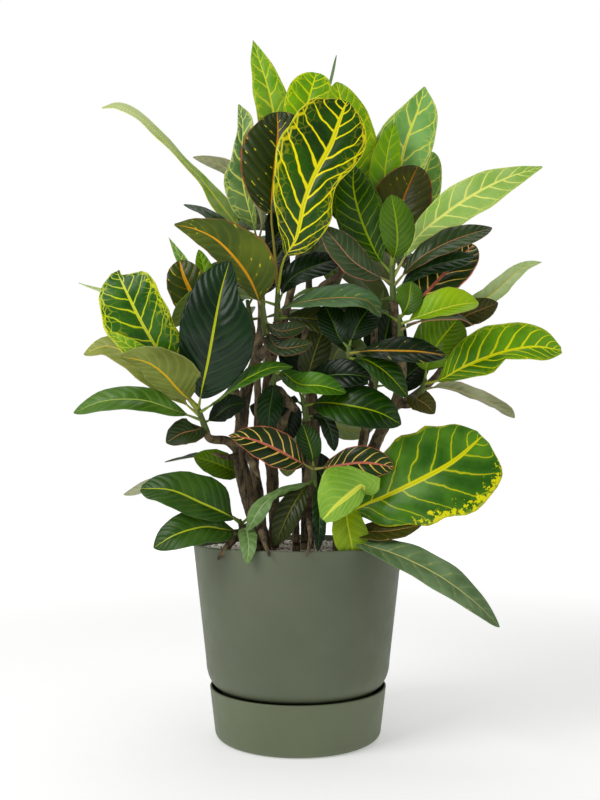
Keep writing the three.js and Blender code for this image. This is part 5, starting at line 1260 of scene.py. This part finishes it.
def blade_spot(leaf, ring, across, face_side):
    """A corner of the blade: folded, waved, bulged and crinkled, with a rib below."""
    blade, centre, upper, side, left, right = ring
    crinkle = LOOKS[leaf["look"]]["crinkle"]
    seed = leaf["seed"] * BLADE["seed"]
    hand = -1 if across < 0 else 1
    out = abs(across)
    half = left if hand < 0 else right
    arch = math.sin(math.pi * blade)
    fold = math.radians(leaf["fold"] * (1 - BLADE["unfold"] * blade))
    swing = arch * math.sin(leaf["rows"] * BLADE["swing"] * blade + BLADE["swing_shift"] * hand)
    beat = BLADE["ripples"] * blade + seed + BLADE["ripple_shift"] * hand
    ripple = crinkle * arch * math.sin(beat) * out ** BLADE["ripple_power"]
    beat = BLADE["scallops"] * blade + BLADE["scallop_seed"] * seed + hand
    scallop = crinkle * arch * math.sin(beat) * out ** BLADE["scallop_power"]
    bulge = half * BLADE["bulge"] * math.sin(math.pi * out)
    bulge *= math.sin(math.pi * min(blade * BLADE["bulge_end"], 1))
    rise = out * (half * math.sin(fold) + leaf["wave"] * swing) + bulge + ripple
    thick = BLADE_THICKNESS * BLADE["thickness"]
    if face_side < 0:
        rib = BLADE["rib"] * (1 - BLADE["rib_taper"] * blade)
        thick += rib * math.exp(-(out * half / BLADE["rib_width"]) ** 2)
    reach = across * half * math.cos(fold) + hand * min(scallop, half * BLADE["deepest_scallop"])
    return centre + side * reach + upper * (rise + face_side * thick)


def add_blade(bm, leaf, route, roll, rows, layers, uv):
    """The blade: a sheet of rows and columns, extruded to its thickness and then shaped."""
    columns = [-column for column in reversed(COLUMNS[1:])] + list(COLUMNS)
    upper_face, lower_face = blade_sheet(bm, rows, columns, uv)
    rings = [blade_ring(leaf, route, roll, row, rows) for row in range(rows + 1)]
    for face_side, corners in ((1, upper_face), (-1, lower_face)):
        colours = leaf_colours(leaf, under=face_side < 0)
        for vert, (i, j) in corners.items():
            vert.co = Vector(blade_spot(leaf, rings[i], columns[j], face_side) * MM)
            for label, layer in layers.items():
                vert[layer] = colours[label]
    every = list({face for vert in [*upper_face, *lower_face] for face in vert.link_faces})
    bmesh.ops.recalc_face_normals(bm, faces=every)
    centre = (rows // 2, len(COLUMNS) - 1)
    middle = next(vert for vert, spot in upper_face.items() if spot == centre)
    upper = Vector(rings[centre[0]][2])
    if sum(face.normal.dot(upper) for face in middle.link_faces) < 0:
        bmesh.ops.reverse_faces(bm, faces=every)


def add_stalk(bm, leaf, route, roll, layers, uv):
    """The stalk, from inside the shoot to the blade's base."""
    rings = STALK["rings"]
    shares = [leaf["stalk"] * STALK["overlap"] * i / rings for i in range(rings + 1)]
    sides = [blade_sides(leaf, route, share, roll) for share in shares]
    radii = [*np.linspace(*STALK["radii"], rings), STALK["end"]]
    tint = blend(linear(LOOKS[leaf["look"]]["vein"]), linear(STALK_TINT["colour"]), STALK_TINT["blend"])
    paint_tube(bm, [route.point(share) for share in shares], [(side, upper) for _, upper, side in sides],
               radii, STALK["sides"], tint, layers, uv)


def paint_tube(bm, centres, sides, radii, count, tint, layers, uv):
    """A plain tube in one colour, with no veins."""
    verts = tube(bm, centres, sides, radii, count)
    values = {label: (*tint, last) for label, last in PLAIN_TUBE["layers"].items()}
    values["marks"] = (0.0, 0.0, 0.0, 0.0)
    values["more"] = (0.0, 1.0, 0.0, 0.0)
    for vert in verts:
        for label, layer in layers.items():
            vert[layer] = values[label]
    map_faces(verts, uv, lambda vert: PLAIN_TUBE["spot"])


def solid_points(name):
    """A search tree of the corners of a solid, in metres."""
    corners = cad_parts[name].data.vertices
    tree = kdtree.KDTree(len(corners))
    for i, corner in enumerate(corners):
        tree.insert(corner.co, i)
    tree.balance()
    return tree


def standing_leaves(shoot, index):
    """The shoot's leaves that its solid holds, each with its push and roll."""
    solid = solid_points(shoot["name"])
    found = []
    for k, entry in enumerate(shoot["leaves"]):
        leaf = chosen_leaf(shoot, entry, index * KEY_STEP + k)
        lean = find_lean(leaf, solid)
        if lean is not None:
            found.append((leaf, lean))
        elif not leaf["spare"]:
            raise RuntimeError(f"{shoot['name']} has no leaf to {entry['rib'][-1]}")
    for k in range(shoot["fill"] * RULE_LEAF["tries"]):
        leaf = rule_leaf(shoot, index, k)
        lean = find_lean(leaf, solid) if leaf else None
        if lean is not None:
            found.append((leaf, lean))
    return found


def leaf_bmesh():
    """An empty bmesh with the layers that the leaf material reads."""
    bm = bmesh.new()
    layers = {label: bm.verts.layers.float_color.new(label) for label in LEAF_LAYERS}
    return bm, layers, bm.loops.layers.uv.new("UVMap")


def make_shoot(shoot, index, material, fineness):
    """One leafy shoot: its soft stem, stalks and blades as one piece."""
    bm, layers, uv = leaf_bmesh()
    core = Route([place(shoot["foot"]), place(shoot["top"])])
    shares = [i / SHOOT["rings"] for i in range(SHOOT["rings"] + 1)]
    thick, thin = SHOOT["radii"]
    radii = [thick + (thin - thick) * share for share in shares]
    paint_tube(bm, [core.point(share) for share in shares], ring_sides(core, shares), radii,
               SHOOT["sides"], linear(SHOOT["colour"]), layers, uv)
    for leaf, (push, roll) in standing_leaves(shoot, index):
        route = Route(leaned(leaf, push))
        leaf["length"] = route.length
        leaf["reach"] = max(half_width(leaf, 0.5, 1), half_width(leaf, 0.5, -1))
        rows = int(np.clip(route.length / ROW_LENGTH, FEWEST_ROWS, MOST_ROWS) * fineness)
        part = leaf_bmesh()
        add_blade(part[0], leaf, route, roll, rows, *part[1:])
        add_mesh(bm, part[0])
        part = leaf_bmesh()
        add_stalk(part[0], leaf, route, roll, *part[1:])
        add_mesh(bm, part[0])
    return finish(shoot["name"] + "_fine", bm, [shoot["name"]], material)


# Stems
def wood_route(points, target):
    """The points of a limb, carried on to the foot of the shoot that it ends under."""
    shoot = next(entry for entry in SHOOTS if entry["name"] == target)
    foot, top = place(shoot["foot"]), place(shoot["top"])
    ahead = unit(top - foot)
    end = foot - ahead * GAP
    lead = min(SHOOT_LEAD, np.linalg.norm(points[-1] - end) / LEAD_PART)
    return [*points, end - ahead * lead, end]


def scar_spot(vert):
    """The height that the bark's scars are counted by."""
    return vert.co.z / MM / SCAR_SPACING, 0.5


def add_limb(bm, points, girth, sides, seed, uv):
    """A bark limb with swellings and ring-like scars."""
    route = Route(points)
    rings = max(LIMB["fewest_rings"], int(route.length / LIMB["ring_length"]))
    shares = [i / rings for i in range(rings + 1)]
    centres = [route.point(share) for share in shares]
    radii = []
    for share in shares:
        along = share * route.length
        swell = 1 + LIMB["swell"] * noise.noise(Vector((seed, along / LIMB["swell_length"], 0)))
        ridge = max(0, math.sin(along / LIMB["scar_length"] + seed)) ** LIMB["scar_power"]
        scar = 1 + LIMB["scar"] * ridge
        radii.append((girth[0] + (girth[1] - girth[0]) * share) * swell * scar * LIMB["slimmer"])

    def wobble(ring, turn):
        angle = 2 * math.pi * turn / sides
        height = centres[ring][2] / LIMB["lump_height"] + seed
        spot = Vector((math.cos(angle) * LIMB["lumps"], math.sin(angle) * LIMB["lumps"], height))
        return 1 + LIMB["lump"] * noise.noise(spot) + LIMB["knob"] * noise.noise(spot * LIMB["knobs"])

    map_faces(tube(bm, centres, ring_sides(route, shares), radii, sides, wobble), uv, scar_spot)


def make_stem(stem, seed, material):
    """One woody stem with its branches."""
    bm = bmesh.new()
    uv = bm.loops.layers.uv.new("UVMap")
    x, y = stem["foot"]
    start = np.array([x, y, GRAVEL_TOP + STEM["start"]], dtype=float)
    points = [start - (0, 0, STEM["root"]), start]
    if stem["route"]:
        points.append(start + (0, 0, STEM["upright"]))
    points += [place(spot) for spot in stem["route"]]
    add_limb(bm, wood_route(points, stem["to"]), stem["girth"], STEM["sides"], seed, uv)
    for k, branch in enumerate(stem["branches"]):
        way = wood_route([place(spot) for spot in branch["route"]], branch["to"])
        add_limb(bm, way, branch["girth"], STEM["branch_sides"], seed + k + 1, uv)
    return finish(stem["name"] + "_bark", bm, [stem["name"]], material)


def make_dry_bits(material):
    """Withered stalks and curled leaf remains, each a lumpy tapered tube."""
    bm = bmesh.new()
    uv = bm.loops.layers.uv.new("UVMap")
    shares = [i / DRY["rings"] for i in range(DRY["rings"] + 1)]
    for seed, bit in enumerate(DRY_BITS.values()):
        route = Route([place(spot) for spot in bit["route"]])
        start, middle, end = bit["girth"]
        radii = [start + (end - start) * share + (middle - (start + end) / 2) * math.sin(math.pi * share)
                 for share in shares]

        def wobble(ring, turn):
            angle = 2 * math.pi * turn / DRY["sides"]
            height = ring * DRY["ring_step"] + seed * DRY["seed_step"]
            spot = Vector((math.cos(angle) * DRY["lumps"], math.sin(angle) * DRY["lumps"], height))
            return 1 + DRY["lump"] * noise.noise(spot)

        centres = [route.point(share) for share in shares]
        verts = tube(bm, centres, ring_sides(route, shares), radii, DRY["sides"], wobble)
        map_faces(verts, uv, scar_spot)
    return finish("dry_bits", bm, [], material)


# Pot, saucer, soil and gravel
def pot_wall(inset, steps):
    """The rounded shoulder, the neck and the base of the pot's wall, moved in by the inset."""
    reach = (POT_SHOULDER_RADIUS - POT_NECK_RADIUS, POT_SHOULDER_HEIGHT - POT_NECK_HEIGHT)
    centre = (POT_NECK_RADIUS - inset, POT_SHOULDER_HEIGHT + inset * 0.5)
    return [*arc(centre, reach, 0, -90, steps), (POT_BASE_RADIUS - inset, POT_BASE_HEIGHT + inset)]


def make_pot(material, steps):
    """The pot: its wall with a rounded lip, its base and its feet."""
    bm = bmesh.new()
    lip = POT_WALL / 2
    profile = [(0, POT_BASE_HEIGHT), *reversed(pot_wall(0, SHOULDER_STEPS)),
               *arc((POT_RIM_RADIUS - lip, POT_RIM_HEIGHT - lip), (lip, lip), 0, 180, LIP_STEPS),
               *pot_wall(POT_WALL, SHOULDER_STEPS), (0, POT_BASE_HEIGHT + POT_WALL)]
    turned(bm, profile, steps)
    low, high = SAUCER_FLOOR + GAP, POT_BASE_HEIGHT + FOOT["sunk"]
    for i in range(FOOT["count"]):
        angle = 2 * math.pi * (i + 0.5) / FOOT["count"]
        made = bmesh.ops.create_cube(bm, size=1)["verts"]
        bmesh.ops.scale(bm, verts=made, vec=(FOOT["width"] * MM, FOOT["length"] * MM, (high - low) * MM))
        bmesh.ops.translate(bm, verts=made, vec=(FOOT["radius"] * MM, 0, (low + high) / 2 * MM))
        bmesh.ops.rotate(bm, verts=made, cent=(0, 0, 0), matrix=Matrix.Rotation(angle, 3, "Z"))
    return finish("pot_fine", bm, ["pot"], material)


def make_saucer(material, steps):
    """The saucer: a tray with a rounded base corner, a flared wall and a rounded lip."""
    bm = bmesh.new()
    lip = SAUCER_WALL / 2
    corner = SAUCER_CORNER
    inner = SAUCER_BASE_RADIUS - SAUCER_WALL
    profile = [(0, 0), *arc((SAUCER_BASE_RADIUS - corner, corner), (corner, corner), -90, 0, CORNER_STEPS),
               *arc((SAUCER_RIM_RADIUS - lip, SAUCER_HEIGHT - lip), (lip, lip), 0, 180, LIP_STEPS),
               (inner, SAUCER_FLOOR + corner)]
    profile += [(inner - corner * inward, SAUCER_FLOOR + corner * upward) for inward, upward in INNER_CORNER]
    turned(bm, [*profile, (0, SAUCER_FLOOR)], steps)
    return finish("saucer_fine", bm, ["saucer"], material)


def pot_inner_radius(height):
    share = (height - POT_SHOULDER_HEIGHT) / (POT_RIM_HEIGHT - POT_SHOULDER_HEIGHT)
    return POT_SHOULDER_RADIUS + (POT_RIM_RADIUS - POT_SHOULDER_RADIUS) * share - POT_WALL


def add_stone(bm, layer, x, y, size, chance):
    """One flattened uneven stone in a colour drawn from the list."""
    middle = Vector((x, y, GRAVEL_TOP - STONE["sunk"] + chance.uniform(*STONE["heights"]))) * MM
    turn = Matrix.Rotation(chance.uniform(0, STONE["most_turn"]), 4, "Z")
    made = bmesh.ops.create_icosphere(bm, subdivisions=1, radius=size * MM, matrix=turn)["verts"]
    colour = (*linear(chance.choice(STONE_COLOURS)), 1)
    for vert in made:
        vert.co *= chance.uniform(*STONE["lumps"])
        vert.co.z *= STONE["flatness"]
        vert.co += middle
        vert[layer] = colour


def make_gravel(material, spacing):
    """A bed with small uneven stones in a jittered grid, clear of the stems."""
    bm = bmesh.new()
    layer = bm.verts.layers.float_color.new("stone")
    low = SOIL_TOP + GAP
    edge = pot_inner_radius(low) - 2 * GAP
    bed = GRAVEL_TOP - BED["depth"]
    turned(bm, [(0, low), (edge, low), (edge, bed), (edge * 0.5, bed), (0, bed)], BED["steps"])
    for vert in bm.verts:
        vert[layer] = (*linear(BED["colour"]), 1)
    chance = random.Random(STONE["seed"])
    count = int(2 * edge / spacing)
    for row in range(count):
        strip = bmesh.new()
        strip_layer = strip.verts.layers.float_color.new("stone")
        for column in range(count):
            x = -edge + (column + chance.uniform(*STONE["jitter"])) * spacing
            y = -edge + (row + chance.uniform(*STONE["jitter"])) * spacing
            size = spacing * chance.uniform(*STONE["sizes"])
            near_stem = any(math.dist((x, y), stem["foot"]) < stem["girth"][0] + size for stem in STEMS)
            if math.hypot(x, y) <= edge - size and not near_stem:
                add_stone(strip, strip_layer, x, y, size, chance)
        add_mesh(bm, strip)
    return finish("gravel_stones", bm, ["gravel"], material, smooth=False)


# Stage
def make_floor(settings):
    """A pale floor that brightens into the distance."""
    bm = bmesh.new()
    bmesh.ops.create_grid(bm, x_segments=1, y_segments=1, size=FLOOR["size"])
    mesh = bpy.data.meshes.new("floor")
    bm.to_mesh(mesh)
    bm.free()
    floor = bpy.data.objects.new("floor", mesh)
    bpy.context.scene.collection.objects.link(floor)
    nodes = Nodes("pale_floor")
    nodes.surface("Base Color", (*settings.floor_colour, 1))
    nodes.surface("Roughness", FLOOR["roughness"])
    nodes.surface("Emission Color", (1, 1, 1, 1))
    far = nodes.add("ShaderNodeVectorMath", {"operation": "LENGTH"}, Vector=nodes.spot()).outputs["Value"]
    glow = nodes.between(far, *FLOOR["fade"], settings.floor_glow, settings.far_floor_glow)
    nodes.surface("Emission Strength", glow)
    mesh.materials.append(nodes.material)


def make_world(settings):
    """Surroundings that light the plant softly and look white."""
    world = bpy.data.worlds.new("studio")
    world.use_nodes = True
    tree = world.node_tree
    background = tree.nodes["Background"]
    background.inputs["Color"].default_value = (1, 1, 1, 1)
    seen = tree.nodes.new("ShaderNodeLightPath").outputs["Is Camera Ray"]
    strength = tree.nodes.new("ShaderNodeMapRange")
    strength.inputs["To Min"].default_value = settings.world_light
    strength.inputs["To Max"].default_value = 1.0
    tree.links.new(seen, strength.inputs["Value"])
    tree.links.new(strength.outputs["Result"], background.inputs["Strength"])
    bpy.context.scene.world = world


def make_lights(settings):
    """Soft square lights that face the middle of the plant."""
    powers = {"key": settings.key_light, "fill": settings.fill_light, "top": settings.top_light}
    for name, light in LIGHTS.items():
        data = bpy.data.lights.new(name, "AREA")
        data.size = light["size"]
        data.energy = powers[name]
        lamp = bpy.data.objects.new(name, data)
        lamp.location = light["spot"]
        aim = Vector(LIGHT_AIM) - lamp.location
        lamp.rotation_euler = aim.to_track_quat("-Z", "Y").to_euler()
        bpy.context.scene.collection.objects.link(lamp)


def make_camera(settings):
    """The eye of the front view."""
    data = bpy.data.cameras.new("front")
    data.sensor_width = SENSOR
    data.sensor_fit = "VERTICAL"
    data.sensor_height = SENSOR
    data.lens = settings.lens
    data.shift_y = settings.shift_up
    camera = bpy.data.objects.new("front", data)
    camera.location = (settings.eye_across, -EYE_DISTANCE * MM, EYE_HEIGHT * MM)
    camera.rotation_euler = (math.pi / 2, 0, 0)
    bpy.context.scene.collection.objects.link(camera)
    bpy.context.scene.camera = camera
    bpy.context.scene.view_settings.view_transform = "Standard"


# Add-on: settings, operators and panel
class PotSettings(bpy.types.PropertyGroup):
    """Sizes and colours of the pot, the saucer and the gravel."""
    steps: IntProperty(name="Round steps", description="Faces round the pot and saucer", default=128,
                       min=24, max=256)
    pot_colour: StringProperty(name="Pot colour", description="Hex colour of the pot", default="#586049")
    saucer_colour: StringProperty(name="Saucer colour", description="Hex colour of the saucer",
                                  default="#636c51")
    stone_spacing: FloatProperty(name="Stone spacing", description="Distance between stones in mm",
                                 default=STONE["spacing"], min=2, max=12)


class LeafSettings(bpy.types.PropertyGroup):
    """How finely the leaves are made."""
    fineness: FloatProperty(name="Fineness", description="Rows of faces along a leaf, as a factor",
                            default=1.0, min=0.3, max=2, subtype="FACTOR")


class StageSettings(bpy.types.PropertyGroup):
    """The floor, the lights and the camera."""
    floor_colour: FloatVectorProperty(name="Floor colour", description="Colour of the floor",
                                      default=(0.93, 0.93, 0.92), subtype="COLOR", min=0, max=1)
    floor_glow: FloatProperty(name="Floor glow", description="Light that the floor gives of its own",
                              default=0.32, min=0)
    far_floor_glow: FloatProperty(name="Far floor glow", default=0.85, min=0,
                                  description="Light that the floor gives far from the plant")
    world_light: FloatProperty(name="World light", description="Strength of the surroundings",
                               default=0.31, min=0)
    key_light: FloatProperty(name="Key light", description="Power of the light at the left", default=29,
                             min=0, subtype="POWER")
    fill_light: FloatProperty(name="Fill light", description="Power of the light at the right", default=4,
                              min=0, subtype="POWER")
    top_light: FloatProperty(name="Top light", description="Power of the light above", default=11,
                             min=0, subtype="POWER")
    lens: FloatProperty(name="Lens", description="Focal length in mm", default=39.15, min=1)
    shift_up: FloatProperty(name="Shift up", description="Vertical shift of the camera", default=0.089)
    eye_across: FloatProperty(name="Camera across", description="Place of the camera across",
                              default=0.0024, unit="LENGTH")


class CROTON_OT_pot(bpy.types.Operator):
    """Makes the pot and the saucer"""
    bl_idname = "croton.pot"
    bl_label = "Pot and saucer"

    def execute(self, context):
        settings = context.scene.croton_pot
        make_saucer(moulded_plastic("saucer_plastic", settings.saucer_colour), settings.steps)
        make_pot(moulded_plastic("pot_plastic", settings.pot_colour), settings.steps)
        return {"FINISHED"}


class CROTON_OT_gravel(bpy.types.Operator):
    """Makes the gravel and gives the soil its material"""
    bl_idname = "croton.gravel"
    bl_label = "Gravel and soil"

    def execute(self, context):
        make_gravel(small_stones("small_stones"), context.scene.croton_pot.stone_spacing)
        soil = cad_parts["soil"]
        soil.data.materials.clear()
        soil.data.materials.append(damp_soil("damp_soil"))
        return {"FINISHED"}


class CROTON_OT_stems(bpy.types.Operator):
    """Makes the woody stems with their branches, and the dry bits"""
    bl_idname = "croton.stems"
    bl_label = "Stems"

    def execute(self, context):
        material = rough_bark("rough_bark")
        for index, stem in enumerate(STEMS):
            make_stem(stem, index * STEM["seed_step"], material)
        make_dry_bits(material)
        return {"FINISHED"}


class CROTON_OT_leaves(bpy.types.Operator):
    """Makes the leafy shoots"""
    bl_idname = "croton.leaves"
    bl_label = "Leafy shoots"

    def execute(self, context):
        material = veined_leaf("veined_leaf")
        for index, shoot in enumerate(SHOOTS):
            make_shoot(shoot, index, material, context.scene.croton_leaves.fineness)
        return {"FINISHED"}


class CROTON_OT_stage(bpy.types.Operator):
    """Makes the floor, the surroundings, the lights and the camera"""
    bl_idname = "croton.stage"
    bl_label = "Stage"

    def execute(self, context):
        settings = context.scene.croton_stage
        make_floor(settings)
        make_world(settings)
        make_lights(settings)
        make_camera(settings)
        return {"FINISHED"}


OPERATORS = (CROTON_OT_pot, CROTON_OT_gravel, CROTON_OT_stems, CROTON_OT_leaves, CROTON_OT_stage)


class CROTON_PT_panel(bpy.types.Panel):
    """Lists the settings and the steps that build the plant"""
    bl_idname = "CROTON_PT_panel"
    bl_label = "Potted croton"
    bl_space_type = "VIEW_3D"
    bl_region_type = "UI"
    bl_category = "Croton"

    def draw(self, context):
        scene = context.scene
        for settings in (scene.croton_pot, scene.croton_leaves, scene.croton_stage):
            for key in settings.bl_rna.properties.keys():
                if key not in ("rna_type", "name"):
                    self.layout.prop(settings, key)
        for operator in OPERATORS:
            self.layout.operator(operator.bl_idname)


CLASSES = (PotSettings, LeafSettings, StageSettings, *OPERATORS, CROTON_PT_panel)


def register():
    for item in CLASSES:
        bpy.utils.register_class(item)
    bpy.types.Scene.croton_pot = PointerProperty(type=PotSettings)
    bpy.types.Scene.croton_leaves = PointerProperty(type=LeafSettings)
    bpy.types.Scene.croton_stage = PointerProperty(type=StageSettings)


def unregister():
    del bpy.types.Scene.croton_stage
    del bpy.types.Scene.croton_leaves
    del bpy.types.Scene.croton_pot
    for item in reversed(CLASSES):
        bpy.utils.unregister_class(item)


def main():
    """Builds everything in order."""
    register()
    bpy.ops.croton.pot()
    bpy.ops.croton.gravel()
    bpy.ops.croton.stems()
    bpy.ops.croton.leaves()
    bpy.ops.croton.stage()


if __name__ == "__main__":
    main()
